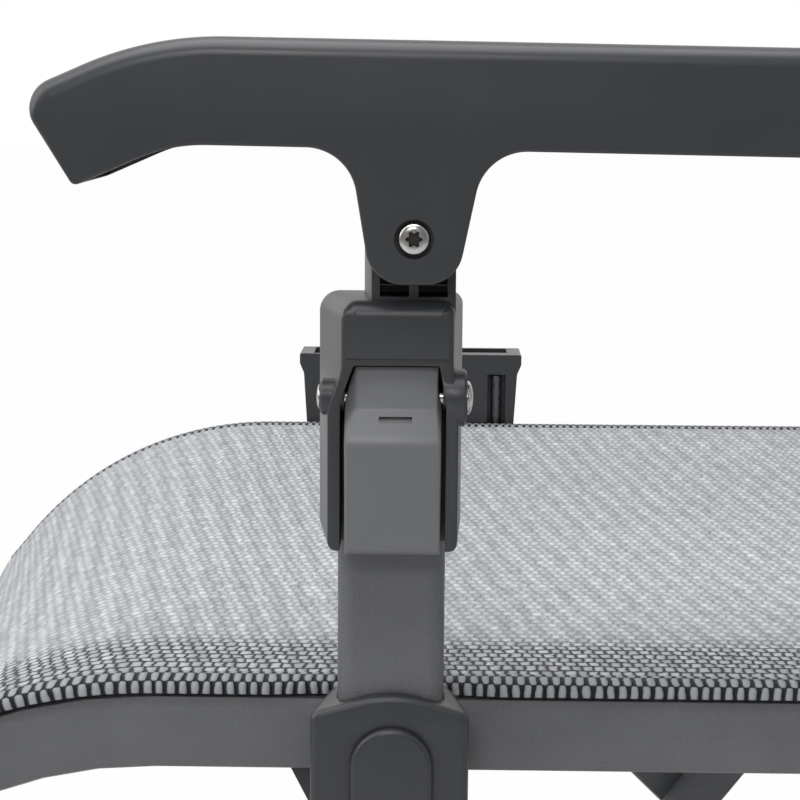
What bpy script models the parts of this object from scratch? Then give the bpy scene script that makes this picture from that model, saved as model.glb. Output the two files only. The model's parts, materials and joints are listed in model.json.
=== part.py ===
"""Folding camping chair: bent tube frame, woven slings, arm posts with flip-lock levers.

Metres, +Z up, the sitter looks along -Y and the sitter's left is +X. Heights called "rise" are
measured up from the middle of the seat rail, and places along the chair from the arm post.
"""
import math

import bmesh
import bpy
from mathutils import Matrix, Quaternion, Vector

# Driving sizes of the seat frame
SEAT_HEIGHT = 0.445
RAIL_SPACING = 0.500
RAIL_WIDTH = 0.020
RAIL_HEIGHT = 0.028
RAIL_EDGE = 0.005
RAIL_REAR_Y = 0.332
BEND_START_Y = -0.084
BEND_RADIUS = 0.172
BEND_ANGLE = math.radians(50)
FRONT_STRAIGHT = 0.022
SEAT_CORNER_RADIUS = 0.045
TUBE_WALL = 0.0016
REAR_BAR_Y = 0.262
REAR_BAR_RADIUS = 0.008
CAP_THICKNESS = 0.003
CAP_PLUG_LENGTH = 0.012

# Driving sizes of the slings
SLING_THICKNESS = 0.005
SLING_SAG = 0.009
SLING_OVERLAP = 0.014
SLING_REAR_Y = 0.240
BACK_SLING_THICKNESS = 0.004
BACK_SLING_SAG = 0.014
BACK_SLING_START = 0.050

# Driving sizes of the back
BACK_HINGE_Y = 0.284
BACK_HINGE_RISE = 0.040
BACK_LEAN = math.radians(12)
BACK_LENGTH = 0.680
BACK_TAIL = 0.016
BACK_CORNER_RADIUS = 0.060
BACK_BAR_AT = 0.034
BACK_BAR_RADIUS = 0.007
TUBE_WIDTH = 0.020
TUBE_DEPTH = 0.025
TUBE_EDGE = 0.005

# Driving sizes of the legs
FRONT_LEG_SLOPE = math.radians(37)
REAR_LEG_SLOPE = math.radians(45.6)
FRONT_LEG_PIVOT_Y = 0.298
REAR_LEG_PIVOT_Y = -0.008
LEG_PIVOT_DROP = 0.030
LEG_TAIL = 0.013
LEG_CORNER_RADIUS = 0.045
LEG_SIDE_GAP = 0.006
FOOT_SOLE = 0.005
FOOT_LENGTH = 0.046
FOOT_WIDTH = 0.040
FOOT_LIP = 0.004
FOOT_EDGE = 0.003
EAR_RADIUS = 0.014
BRACKET_LENGTH = 0.058

# Driving sizes of the arm post, its foot, its fork and its lever
POST_WIDTH = 0.035
POST_DEPTH = 0.018
POST_EDGE = 0.004
COLLAR_WIDTH = 0.0515
COLLAR_TOP_RISE = 0.0254
COLLAR_ARCH = 0.0084
COLLAR_ARCH_RADIUS = 0.030
COLLAR_SHOULDER_RADIUS = 0.007
COLLAR_FOOT_RADIUS = 0.012
COLLAR_EDGE = 0.002
COLLAR_BOTTOM_DROP = 0.045
COLLAR_INNER_WALL = 0.0029
COLLAR_OUTER_WALL = 0.0042
POST_SEAT_RISE = 0.009
TAB_WIDTH = 0.0272
TAB_TOP_RISE = 0.0127
TAB_BOTTOM_DROP = 0.034
TAB_THICKNESS = 0.003
TAB_EDGE = 0.0012
SCREW_RISE = 0.1757
SCREW_SETBACK = 0.0063
SHOULDER_DROP = 0.0202
LIP_DROP = 0.0406
PIN_DROP = 0.0518
CHEEK_END_DROP = 0.1003
CHEEK_THICKNESS = 0.0060
CHEEK_END_RADIUS = 0.003
BLOCK_FRONT_DRAFT = 0.70
BLOCK_REAR_DRAFT = 0.81
CHEEK_DRAFT = 0.88
FLARE_RISE = 0.0025
FLARE_DROP = 0.021
BLOCK_EDGE = 0.0035
SHOULDER_RADIUS = 0.008
POST_SOCKET_DEPTH = 0.014
NECK_WIDTH = 0.0268
NECK_DRAFT = 1.16
NECK_ROUND = 0.9
NECK_ROOT = 0.006
NECK_WALL = 0.003
NECK_POCKET_HEIGHT = 0.009
NECK_POCKET_DEPTH = 0.020
LEVER_WIDTH = 0.0316
LEVER_TOP_WIDTH = 0.0260
LEVER_SIDE_GAP = 0.0012
LEVER_POST_GAP = 0.0008
LEVER_CAM_RADIUS = 0.0075
LEVER_TOP_PROUD = 0.0030
LEVER_CREST_PROUD = 0.0075
LEVER_PROUD = 0.0115
LEVER_TOP = 0.0103
LEVER_CREST_DROP = 0.003
LEVER_SLOPE_DROP = 0.013
LEVER_END_DROP = 0.0494
LEVER_EDGE = 0.003
PIN_RADIUS = 0.0025
PIN_HEAD_RADIUS = 0.005
PIN_HEAD_HEIGHT = 0.0018
PIN_BOSS_RADIUS = 0.008
PIN_BOSS_HEIGHT = 0.0020

# Driving sizes of the armrest, measured from its screw
ARM_WIDTH = 0.056
ARM_WALL = 0.003
LUG_THICKNESS = 0.005
LUG_GAP = 0.0012
LUG_RADIUS = 0.0143
LUG_FILLET = 0.016
LUG_SIDE_SHARE = 1.42
LUG_REAR_SHARE = 1.08
LUG_FOOT_SHARE = 0.93
LUG_ROUND_SHARE = 0.82
ARM_TOP = 0.0621
ARM_UNDERSIDE = 0.0287
ARM_REAR_FALL = 0.0050
ARM_REAR_RADIUS = 0.0155
ARM_NOSE_Y = -0.1238
ARM_NOSE_Z = 0.0440
ARM_NOSE_RADIUS = 0.009
ARM_TIP_Y = -0.1060
ARM_TIP_Z = 0.0156
ARM_TIP_RADIUS = 0.002
ARM_CROWN_Y = -0.082
ARM_CROWN_RADIUS = 0.110
ARM_DROOP_Y = -0.076
ARM_DROOP_RADIUS = 0.055
ARM_EDGE = 0.006
SCREW_HEAD_RADIUS = 0.0048
SCREW_HEAD_HEIGHT = 0.0028
SCREW_SHANK_RADIUS = 0.0025
SCREW_LENGTH = 0.022
COUNTERBORE_RADIUS = 0.0062
COUNTERBORE_DEPTH = 0.0026
SCREW_RECESS_RADIUS = 0.0021
SCREW_RECESS_DEPTH = 0.0014

# Driving sizes of the pivots between the frame's pieces
BOLT_RADIUS = 0.004
BOLT_HEAD_RADIUS = 0.0075
BOLT_HEAD_HEIGHT = 0.003
REAR_PIN_RADIUS = 0.003
REAR_PIN_HEAD_RADIUS = 0.006
REAR_PIN_HEAD_HEIGHT = 0.003
CLIP_RADIUS = 0.020
CLIP_EAR_RADIUS = 0.011
CLIP_DEPTH = 0.0175

# Driving sizes of the holder on the right post
HOLDER_HALF_LENGTH = 0.0675
HOLDER_DRAFT = 0.003
HOLDER_RIM_HEIGHT = 0.012
HOLDER_RIM_FLARE = 0.0025
HOLDER_EDGE = 0.002
HOLDER_TOP_RISE = 0.0612
HOLDER_BOTTOM_RISE = -0.002
HOLDER_DEPTH = 0.032
HOLDER_RAIL_GAP = 0.002
HOLDER_WALL = 0.003
HOLDER_ROD_Y = 0.0525
HOLDER_ROD_RADIUS = 0.0034
HOLDER_ROD_RIBS = 7
HOLDER_RECESS_WIDTH = 0.011
HOLDER_RECESS_DEPTH = 0.0075

# Fits
CLEARANCE = 0.0003
PIECE_GAP = 0.001
ROUND_SIDES = 16

# Places that follow from the sizes
RAIL_Z = SEAT_HEIGHT - RAIL_HEIGHT / 2
RAIL_X = RAIL_SPACING / 2
RAIL_IN = RAIL_X - RAIL_WIDTH / 2
RAIL_OUT = RAIL_X + RAIL_WIDTH / 2
COLLAR_IN = RAIL_OUT + CLEARANCE
POST_IN = COLLAR_IN + COLLAR_INNER_WALL + CLEARANCE
POST_OUT = POST_IN + POST_DEPTH
COLLAR_OUT = POST_OUT + CLEARANCE + COLLAR_OUTER_WALL
LEVER_IN = POST_OUT + LEVER_POST_GAP
LEVER_PIN_X = LEVER_IN + LEVER_CAM_RADIUS
LEVER_OUT = LEVER_PIN_X + LEVER_PROUD
FORK_OUT = LEVER_PIN_X + LEVER_CAM_RADIUS
LUG_IN = FORK_OUT + LUG_GAP
ARM_OUT = LUG_IN + LUG_THICKNESS
ARM_IN = ARM_OUT - ARM_WIDTH
HOLDER_IN = RAIL_OUT + HOLDER_RAIL_GAP
BACK_X = RAIL_IN - PIECE_GAP - TUBE_WIDTH / 2
REAR_LEG_X = BACK_X
FRONT_LEG_X = BACK_X - TUBE_WIDTH - LEG_SIDE_GAP
CLIP_OUT = ARM_IN - PIECE_GAP
CLIP_IN = CLIP_OUT - CLIP_DEPTH
SCREW_Y = SCREW_SETBACK
SCREW_Z = RAIL_Z + SCREW_RISE
LEVER_PIN_Z = SCREW_Z - PIN_DROP
LIP_Z = SCREW_Z - LIP_DROP
BACK_HINGE_Z = RAIL_Z + BACK_HINGE_RISE
REAR_PIN_Y = BACK_HINGE_Y + SCREW_SETBACK
REAR_PIN_Z = BACK_HINGE_Z + SCREW_RISE
LEG_PIVOT_Z = RAIL_Z - LEG_PIVOT_DROP
SLOT_HALF = POST_WIDTH / 2 + CLEARANCE
FORK_HALF = SLOT_HALF + CHEEK_THICKNESS
BACK_LINE = Vector((0, math.sin(BACK_LEAN), math.cos(BACK_LEAN)))

SIDES = (("left", 1), ("right", -1))


# Scene, materials and low-level meshes
def clear_scene():
    for obj in list(bpy.data.objects):
        bpy.data.objects.remove(obj, do_unlink=True)


def finish(name, rgb, roughness, metallic=0.0):
    material = bpy.data.materials.new(name)
    material.use_nodes = True
    shader = material.node_tree.nodes["Principled BSDF"]
    shader.inputs["Base Color"].default_value = (*rgb, 1.0)
    shader.inputs["Roughness"].default_value = roughness
    shader.inputs["Metallic"].default_value = metallic
    return material


def solid(name, verts, faces, side=1):
    """Closed mesh object; side -1 mirrors it to the chair's right."""
    mesh = bpy.data.meshes.new(name)
    mesh.from_pydata([(side * x, y, z) for x, y, z in verts], [], faces)
    work = bmesh.new()
    work.from_mesh(mesh)
    bmesh.ops.recalc_face_normals(work, faces=work.faces)
    work.to_mesh(mesh)
    work.free()
    obj = bpy.data.objects.new(name, mesh)
    bpy.context.collection.objects.link(obj)
    return obj


def carve(body, tools, operation="DIFFERENCE"):
    """Boolean every tool into the body and remove the tools."""
    for tool in tools:
        cut = body.modifiers.new(tool.name, "BOOLEAN")
        cut.object = tool
        cut.operation = operation
        cut.solver = "EXACT"
    bpy.context.view_layer.update()
    graph = bpy.context.evaluated_depsgraph_get()
    mesh = bpy.data.meshes.new_from_object(body.evaluated_get(graph))
    body.modifiers.clear()
    body.data = mesh
    for tool in tools:
        bpy.data.objects.remove(tool, do_unlink=True)
    return body


def soften(obj, width, segments, chosen):
    """Round the edges whose two end points satisfy chosen(a, b)."""
    work = bmesh.new()
    work.from_mesh(obj.data)
    edges = [edge for edge in work.edges if chosen(edge.verts[0].co, edge.verts[1].co)]
    bmesh.ops.bevel(work, geom=edges, offset=width, segments=segments, affect="EDGES", profile=0.5)
    work.to_mesh(obj.data)
    work.free()
    return obj


# Outlines
def rounded_rectangle(width, height, radius, steps=3):
    points = []
    corners = ((1, 1, 0), (-1, 1, 90), (-1, -1, 180), (1, -1, 270))
    for sx, sy, start in corners:
        for step in range(steps):
            turn = math.radians(start + 90 * step / (steps - 1))
            points.append((sx * (width / 2 - radius) + radius * math.cos(turn),
                           sy * (height / 2 - radius) + radius * math.sin(turn)))
    return points


def filleted(corners, steps=5):
    """Outline through corners (u, v, radius), each corner rounded by an arc."""
    outline = []
    count = len(corners)
    for index, (u, v, radius) in enumerate(corners):
        here = Vector((u, v))
        before = Vector(corners[index - 1][:2]) - here
        after = Vector(corners[(index + 1) % count][:2]) - here
        if radius <= 0:
            outline.append((u, v))
            continue
        half = before.angle(after) / 2
        reach = radius / math.tan(half)
        start = here + before.normalized() * reach
        end = here + after.normalized() * reach
        centre = here + (before.normalized() + after.normalized()).normalized() * (radius / math.sin(half))
        first, last = start - centre, end - centre
        sweep_angle = first.angle_signed(last)
        for step in range(steps + 1):
            ray = first.copy()
            ray.rotate(Matrix.Rotation(-sweep_angle * step / steps, 2))
            outline.append(tuple(centre + ray))
    return outline


def circle_outline(u, v, radius, sides=ROUND_SIDES):
    return [(u + radius * math.cos(2 * math.pi * k / sides), v + radius * math.sin(2 * math.pi * k / sides))
            for k in range(sides)]


def capsule_outline(u0, v0, r0, u1, v1, r1, steps=8):
    """Outline round two circles, joined by their outer tangents."""
    axis = Vector((u1 - u0, v1 - v0))
    heading = math.atan2(axis.y, axis.x)
    lean = math.acos((r0 - r1) / axis.length)
    points = []
    for step in range(steps + 1):
        turn = heading - lean + 2 * lean * step / steps
        points.append((u1 + r1 * math.cos(turn), v1 + r1 * math.sin(turn)))
    for step in range(steps + 1):
        turn = heading + lean + (2 * math.pi - 2 * lean) * step / steps
        points.append((u0 + r0 * math.cos(turn), v0 + r0 * math.sin(turn)))
    return points


# Solids from outlines, paths and turned profiles
def prism(name, outline, low, high, side=1, axis="X"):
    """Outline in (y, z) drawn along X, or in (x, z) drawn along Y."""
    count = len(outline)
    if axis == "X":
        verts = [(end, u, v) for end in (low, high) for u, v in outline]
    else:
        verts = [(u, end, v) for end in (low, high) for u, v in outline]
    faces = [tuple(range(count)), tuple(range(count, 2 * count))]
    faces += [(k, (k + 1) % count, count + (k + 1) % count, count + k) for k in range(count)]
    return solid(name, verts, faces, side)


def box(name, low, high, side=1):
    outline = [(low[1], low[2]), (high[1], low[2]), (high[1], high[2]), (low[1], high[2])]
    return prism(name, outline, low[0], high[0], side)


def turned(name, profile, centre, side=1, axis="X", sides=ROUND_SIDES):
    """Solid of revolution; profile is (along, radius) with its two ends on the axis."""
    verts = [profile[0][:1] + (0.0, 0.0)]
    for along, radius in profile[1:-1]:
        for k in range(sides):
            turn = 2 * math.pi * k / sides
            verts.append((along, radius * math.cos(turn), radius * math.sin(turn)))
    verts.append(profile[-1][:1] + (0.0, 0.0))
    last = len(verts) - 1
    rings = len(profile) - 2
    faces = []
    for k in range(sides):
        after = (k + 1) % sides
        faces.append((0, 1 + k, 1 + after))
        faces.append((last, last - sides + k, last - sides + after))
        for ring in range(rings - 1):
            low = 1 + ring * sides
            faces.append((low + k, low + after, low + sides + after, low + sides + k))
    if axis == "Y":
        verts = [(y, x, z) for x, y, z in verts]
    if axis == "Z":
        verts = [(z, y, x) for x, y, z in verts]
    verts = [(x + centre[0], y + centre[1], z + centre[2]) for x, y, z in verts]
    return solid(name, verts, faces, side)


def hole(y, z, radius, low, high, side=1):
    """Round cutter along X."""
    return prism("hole", circle_outline(y, z, radius), low, high, side)


def bolt(name, y, z, low, high, side):
    """Pivot bolt along X with a low round head at each end."""
    shoulder = BOLT_HEAD_RADIUS * 0.72
    rim = BOLT_HEAD_HEIGHT * 0.5
    profile = [(low - BOLT_HEAD_HEIGHT, 0), (low - BOLT_HEAD_HEIGHT, shoulder), (low - rim, BOLT_HEAD_RADIUS),
               (low, BOLT_HEAD_RADIUS), (low, BOLT_RADIUS), (high, BOLT_RADIUS), (high, BOLT_HEAD_RADIUS),
               (high + rim, BOLT_HEAD_RADIUS), (high + BOLT_HEAD_HEIGHT, shoulder), (high + BOLT_HEAD_HEIGHT, 0)]
    return turned(name, profile, (0, y, z), side)


def walk(start, heading, moves):
    """Points along a bent tube: moves are ("line", length) or ("bend", axis, angle, radius, steps)."""
    place, heading = Vector(start), Vector(heading).normalized()
    points = [place.copy()]
    for move in moves:
        if move[0] == "line":
            place = place + heading * move[1]
            points.append(place.copy())
            continue
        axis, angle, radius, steps = Vector(move[1]).normalized(), move[2], move[3], move[4]
        centre = place + axis.cross(heading) * radius
        arm = place - centre
        for step in range(1, steps + 1):
            points.append(centre + Quaternion(axis, angle * step / steps) @ arm)
        place = points[-1].copy()
        heading = Quaternion(axis, angle) @ heading
    return points


def tube(name, points, profile, across, inner_profile=None):
    """Profile carried along the points; across is the profile's first axis at the start."""
    runs = [(b - a).normalized() for a, b in zip(points, points[1:])]
    first = Vector(across)
    tangent = runs[0]
    loops = []
    for index, point in enumerate(points):
        before = runs[max(index - 1, 0)]
        after = runs[min(index, len(runs) - 1)]
        middle = (before + after).normalized()
        first = tangent.rotation_difference(middle) @ first
        tangent = middle
        second = first.cross(tangent)
        loops.append((point, first.copy(), second))
    count = len(profile)

    def rings(section):
        return [point + first_axis * u + second_axis * v
                for point, first_axis, second_axis in loops for u, v in section]

    verts = rings(profile)
    total = len(loops)
    faces = [(r * count + k, r * count + (k + 1) % count, (r + 1) * count + (k + 1) % count, (r + 1) * count + k)
             for r in range(total - 1) for k in range(count)]
    if inner_profile is None:
        faces += [tuple(range(count)), tuple(range((total - 1) * count, total * count))]
    else:
        shift = len(verts)
        verts += rings(inner_profile)
        faces += [tuple(shift + v for v in reversed(face)) for face in list(faces)]
        for ring in (0, total - 1):
            for k in range(count):
                a, b = ring * count + k, ring * count + (k + 1) % count
                faces.append((a, b, shift + b, shift + a))
    return solid(name, [tuple(v) for v in verts], faces)


def hollow_tube(name, points, width, depth, edge, across):
    outer = rounded_rectangle(width, depth, edge)
    inner = rounded_rectangle(width - 2 * TUBE_WALL, depth - 2 * TUBE_WALL, edge - TUBE_WALL)
    return tube(name, points, outer, across, inner_profile=inner)


# Seat frame and what is fixed to it
def seat_path():
    """Points of the seat tube from its left rear end, round the front, to its right rear end."""
    fall = Vector((0, -math.cos(BEND_ANGLE), -math.sin(BEND_ANGLE)))
    turn = fall.cross(Vector((-1, 0, 0)))
    run = RAIL_REAR_Y - BEND_START_Y
    corner = ("bend", turn, math.pi / 2, SEAT_CORNER_RADIUS, 6)
    moves = [("line", run), ("bend", (1, 0, 0), BEND_ANGLE, BEND_RADIUS, 7), ("line", FRONT_STRAIGHT), corner,
             ("line", RAIL_SPACING - 2 * SEAT_CORNER_RADIUS), corner, ("line", FRONT_STRAIGHT),
             ("bend", (-1, 0, 0), BEND_ANGLE, BEND_RADIUS, 7), ("line", run)]
    return walk((RAIL_X, RAIL_REAR_Y, RAIL_Z), (0, -1, 0), moves)


def seat_frame():
    frame = hollow_tube("seat_frame", seat_path(), RAIL_WIDTH, RAIL_HEIGHT, RAIL_EDGE, (1, 0, 0))
    holes = [hole(0, RAIL_Z, BOLT_RADIUS + CLEARANCE, RAIL_IN - PIECE_GAP, RAIL_OUT + PIECE_GAP, side)
             for _, side in SIDES]
    return carve(frame, holes)


def rail_stations():
    """Places (y, z) and upward normals along the rail's middle, from the sling's rear to its front."""
    stations = [(SLING_REAR_Y + (BEND_START_Y - SLING_REAR_Y) * k / 4, RAIL_Z, 0.0) for k in range(4)]
    bends = 9
    for k in range(bends + 1):
        tilt = BEND_ANGLE * k / bends
        stations.append((BEND_START_Y - BEND_RADIUS * math.sin(tilt),
                         RAIL_Z - BEND_RADIUS * (1 - math.cos(tilt)), tilt))
    y, z, tilt = stations[-1]
    stations.append((y - FRONT_STRAIGHT * math.cos(tilt), z - FRONT_STRAIGHT * math.sin(tilt), tilt))
    return stations


def sheet_solid(name, rows):
    """Closed sheet from rows of (under, over) point pairs."""
    across = len(rows[0])
    under = [pair[0] for row in rows for pair in row]
    over = [pair[1] for row in rows for pair in row]
    shift = len(under)
    faces = []
    for r in range(len(rows) - 1):
        for k in range(across - 1):
            a = r * across + k
            faces.append((a, a + 1, a + across + 1, a + across))
            faces.append((shift + a, shift + a + across, shift + a + across + 1, shift + a + 1))
    rim = [k for k in range(across)]
    rim += [r * across + across - 1 for r in range(1, len(rows))]
    rim += [(len(rows) - 1) * across + k for k in range(across - 2, -1, -1)]
    rim += [r * across for r in range(len(rows) - 2, 0, -1)]
    for a, b in zip(rim, rim[1:] + rim[:1]):
        faces.append((a, b, shift + b, shift + a))
    return solid(name, under + over, faces)


def seat_sling():
    """Mesh sheet that lies on both rails and dips between them."""
    edge = RAIL_IN + SLING_OVERLAP
    inner = [RAIL_IN * k / 5 for k in range(-5, 6)]
    columns = [-edge] + inner + [edge]
    rows = []
    for y, z, tilt in rail_stations():
        row = []
        for x in columns:
            dip = SLING_SAG * max(0.0, 1 - (x / RAIL_IN) ** 2)
            low = RAIL_HEIGHT / 2 + CLEARANCE - dip
            up = Vector((0, -math.sin(tilt), math.cos(tilt)))
            under = Vector((x, y, z)) + up * low
            row.append((tuple(under), tuple(under + up * SLING_THICKNESS)))
        rows.append(row)
    return sheet_solid("seat_sling", rows)


def seat_rear_bar():
    end = RAIL_IN - CLEARANCE
    profile = [(-end, 0), (-end, REAR_BAR_RADIUS), (end, REAR_BAR_RADIUS), (end, 0)]
    return turned("seat_rear_bar", profile, (0, REAR_BAR_Y, RAIL_Z))


def rail_end_cap(label, side):
    """Plug in the open rear end of a rail."""
    plate = tube("rail_end_cap_" + label,
                 [Vector((side * RAIL_X, RAIL_REAR_Y + CLEARANCE, RAIL_Z)),
                  Vector((side * RAIL_X, RAIL_REAR_Y + CLEARANCE + CAP_THICKNESS, RAIL_Z))],
                 rounded_rectangle(RAIL_WIDTH, RAIL_HEIGHT, RAIL_EDGE), (1, 0, 0))
    inset = 2 * (TUBE_WALL + CLEARANCE)
    plug = tube("plug",
                [Vector((side * RAIL_X, RAIL_REAR_Y - CAP_PLUG_LENGTH, RAIL_Z)),
                 Vector((side * RAIL_X, RAIL_REAR_Y + CAP_THICKNESS / 2, RAIL_Z))],
                rounded_rectangle(RAIL_WIDTH - inset, RAIL_HEIGHT - inset, RAIL_EDGE - TUBE_WALL), (1, 0, 0))
    return carve(plate, [plug], "UNION")


def back_hinge_bracket(label, side):
    """Ear on top of the rail that carries the back's pivot."""
    half = BRACKET_LENGTH / 2 - CAP_THICKNESS
    foot = RAIL_Z + RAIL_HEIGHT / 2 + CLEARANCE
    round_top = EAR_RADIUS * 0.99
    corners = [(BACK_HINGE_Y - half, foot, 0), (BACK_HINGE_Y + half, foot, 0),
               (BACK_HINGE_Y + EAR_RADIUS, BACK_HINGE_Z + EAR_RADIUS, round_top),
               (BACK_HINGE_Y - EAR_RADIUS, BACK_HINGE_Z + EAR_RADIUS, round_top)]
    ear = prism("back_hinge_bracket_" + label, filleted(corners), RAIL_IN, RAIL_OUT, side)
    return carve(ear, [hole(BACK_HINGE_Y, BACK_HINGE_Z, BOLT_RADIUS + CLEARANCE,
                            RAIL_IN - PIECE_GAP, RAIL_OUT + PIECE_GAP, side)])


def leg_bracket(name, pivot_y, low, high, side):
    """Ear under the rail that carries a leg's pivot."""
    half = BRACKET_LENGTH / 2
    head = RAIL_Z - RAIL_HEIGHT / 2 - CLEARANCE
    low_z = LEG_PIVOT_Z - EAR_RADIUS
    corners = [(pivot_y - half, head, 0), (pivot_y + half, head, 0),
               (pivot_y + EAR_RADIUS, low_z, EAR_RADIUS * 0.9), (pivot_y - EAR_RADIUS, low_z, EAR_RADIUS * 0.9)]
    ear = prism(name, filleted(corners), low, high, side)
    return carve(ear, [hole(pivot_y, LEG_PIVOT_Z, BOLT_RADIUS + CLEARANCE, low - PIECE_GAP, high + PIECE_GAP, side)])


# Legs
def sole_height(slope):
    """Height of a leg's floor bar, whose tilted tube stands on the feet's soles."""
    profile = rounded_rectangle(TUBE_WIDTH, TUBE_DEPTH, TUBE_EDGE)
    return FOOT_SOLE + CLEARANCE + max(u * math.cos(slope) + v * math.sin(slope) for u, v in profile)


def leg_frame(name, x, pivot_y, direction, slope):
    """U-shaped leg: two sloping tubes joined by a bar along the floor."""
    heading = Vector((0, direction * math.sin(slope), -math.cos(slope)))
    top = Vector((x, pivot_y, LEG_PIVOT_Z)) - heading * LEG_TAIL
    run = LEG_TAIL + (LEG_PIVOT_Z - sole_height(slope)) / math.cos(slope) - LEG_CORNER_RADIUS
    corner = ("bend", heading.cross(Vector((-1, 0, 0))), math.pi / 2, LEG_CORNER_RADIUS, 6)
    moves = [("line", run), corner, ("line", 2 * (x - LEG_CORNER_RADIUS)), corner, ("line", run)]
    leg = hollow_tube(name, walk(top, heading, moves), TUBE_WIDTH, TUBE_DEPTH, TUBE_EDGE, (1, 0, 0))
    holes = [hole(pivot_y, LEG_PIVOT_Z, BOLT_RADIUS + CLEARANCE, x - TUBE_WIDTH, x + TUBE_WIDTH, side)
             for _, side in SIDES]
    return carve(leg, holes)


def leg_foot(name, x, pivot_y, direction, slope, side):
    """Moulded foot that cradles the leg's floor bar beside its corner."""
    bar_z = sole_height(slope)
    bar_y = pivot_y + direction * (LEG_PIVOT_Z - bar_z) * math.tan(slope)
    outer = x - LEG_CORNER_RADIUS
    low_y, high_y = bar_y - FOOT_WIDTH / 2, bar_y + FOOT_WIDTH / 2
    top = bar_z + FOOT_LIP
    corners = [(y, z, FOOT_EDGE) for y, z in ((low_y, 0), (high_y, 0), (high_y, top), (low_y, top))]
    foot = prism(name, filleted(corners, 3), outer - FOOT_LENGTH, outer, side)
    spread = 2 * CLEARANCE
    along = Vector((direction * math.sin(slope), -math.cos(slope)))
    normal = Vector((-along.y, along.x))
    seat = [Vector((bar_y, bar_z)) + along * u + normal * v
            for u, v in rounded_rectangle(TUBE_WIDTH + spread, TUBE_DEPTH + spread, TUBE_EDGE)]
    groove = prism("groove", [tuple(p) for p in seat], outer - 2 * FOOT_LENGTH, outer + FOOT_LENGTH, side)
    return carve(foot, [groove])


# Back
def back_frame():
    heading = BACK_LINE
    start = Vector((BACK_X, BACK_HINGE_Y, BACK_HINGE_Z)) - heading * BACK_TAIL
    run = BACK_TAIL + BACK_LENGTH - BACK_CORNER_RADIUS
    corner = ("bend", heading.cross(Vector((-1, 0, 0))), math.pi / 2, BACK_CORNER_RADIUS, 7)
    moves = [("line", run), corner, ("line", 2 * (BACK_X - BACK_CORNER_RADIUS)), corner, ("line", run)]
    frame = hollow_tube("back_frame", walk(start, heading, moves), TUBE_WIDTH, TUBE_DEPTH, TUBE_EDGE, (1, 0, 0))
    holes = [hole(BACK_HINGE_Y, BACK_HINGE_Z, BOLT_RADIUS + CLEARANCE, BACK_X - TUBE_WIDTH, BACK_X + TUBE_WIDTH, side)
             for _, side in SIDES]
    return carve(frame, holes)


def back_sling():
    """Mesh sheet between the back's tubes, dished to the rear."""
    edge = BACK_X - TUBE_WIDTH / 2 - CLEARANCE
    end = BACK_LENGTH - BACK_CORNER_RADIUS
    front = Vector((0, -math.cos(BACK_LEAN), math.sin(BACK_LEAN)))
    hinge = Vector((0, BACK_HINGE_Y, BACK_HINGE_Z))
    rows = []
    for r in range(9):
        place = hinge + BACK_LINE * (BACK_SLING_START + (end - BACK_SLING_START) * r / 8)
        row = []
        for k in range(-6, 7):
            dish = BACK_SLING_SAG * (1 - (k / 6) ** 2)
            middle = place + Vector((edge * k / 6, 0, 0)) - front * dish
            half = front * BACK_SLING_THICKNESS / 2
            row.append((tuple(middle - half), tuple(middle + half)))
        rows.append(row)
    return sheet_solid("back_sling", rows)


def back_cross_bar():
    end = BACK_X - TUBE_WIDTH / 2 - CLEARANCE
    place = Vector((0, BACK_HINGE_Y, BACK_HINGE_Z)) + BACK_LINE * BACK_BAR_AT
    profile = [(-end, 0), (-end, BACK_BAR_RADIUS), (end, BACK_BAR_RADIUS), (end, 0)]
    return turned("back_cross_bar", profile, place)


def armrest_clip(label, side):
    """Saddle on the back tube whose ear carries the armrest's rear pin."""
    tube_y = BACK_HINGE_Y + SCREW_RISE * math.tan(BACK_LEAN)
    outline = capsule_outline(tube_y, REAR_PIN_Z, CLIP_RADIUS, REAR_PIN_Y, REAR_PIN_Z, CLIP_EAR_RADIUS)
    clip = prism("armrest_clip_" + label, outline, CLIP_IN, CLIP_OUT, side)
    spread = 2 * CLEARANCE
    middle = Vector((side * BACK_X, tube_y, REAR_PIN_Z))
    passage = tube("passage", [middle - BACK_LINE * 3 * CLIP_RADIUS, middle + BACK_LINE * 3 * CLIP_RADIUS],
                   rounded_rectangle(TUBE_WIDTH + spread, TUBE_DEPTH + spread, TUBE_EDGE), (1, 0, 0))
    bore = hole(REAR_PIN_Y, REAR_PIN_Z, REAR_PIN_RADIUS + CLEARANCE, CLIP_IN - PIECE_GAP, ARM_IN, side)
    return carve(clip, [passage, bore])


def armrest_rear_pin(label, side):
    """Pin through the clip's ear and the armrest's inner wall."""
    low = CLIP_IN
    high = ARM_IN + ARM_WALL + PIECE_GAP
    profile = [(low, 0), (low, REAR_PIN_RADIUS), (high, REAR_PIN_RADIUS), (high, REAR_PIN_HEAD_RADIUS),
               (high + REAR_PIN_HEAD_HEIGHT, REAR_PIN_HEAD_RADIUS * 0.8), (high + REAR_PIN_HEAD_HEIGHT, 0)]
    return turned("armrest_rear_pin_" + label, profile, (0, REAR_PIN_Y, REAR_PIN_Z), side)


# Arm post
def post_tube(label, side):
    x = side * (POST_IN + POST_OUT) / 2
    points = [Vector((x, 0, RAIL_Z + POST_SEAT_RISE)), Vector((x, 0, LIP_Z + POST_SOCKET_DEPTH - CLEARANCE))]
    return hollow_tube("post_tube_" + label, points, POST_DEPTH, POST_WIDTH, POST_EDGE, (1, 0, 0))


def post_socket(low_z, high_z, side):
    """Cutter for the post tube."""
    return box("socket", (POST_IN - CLEARANCE, -SLOT_HALF, low_z), (POST_OUT + CLEARANCE, SLOT_HALF, high_z), side)


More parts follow.
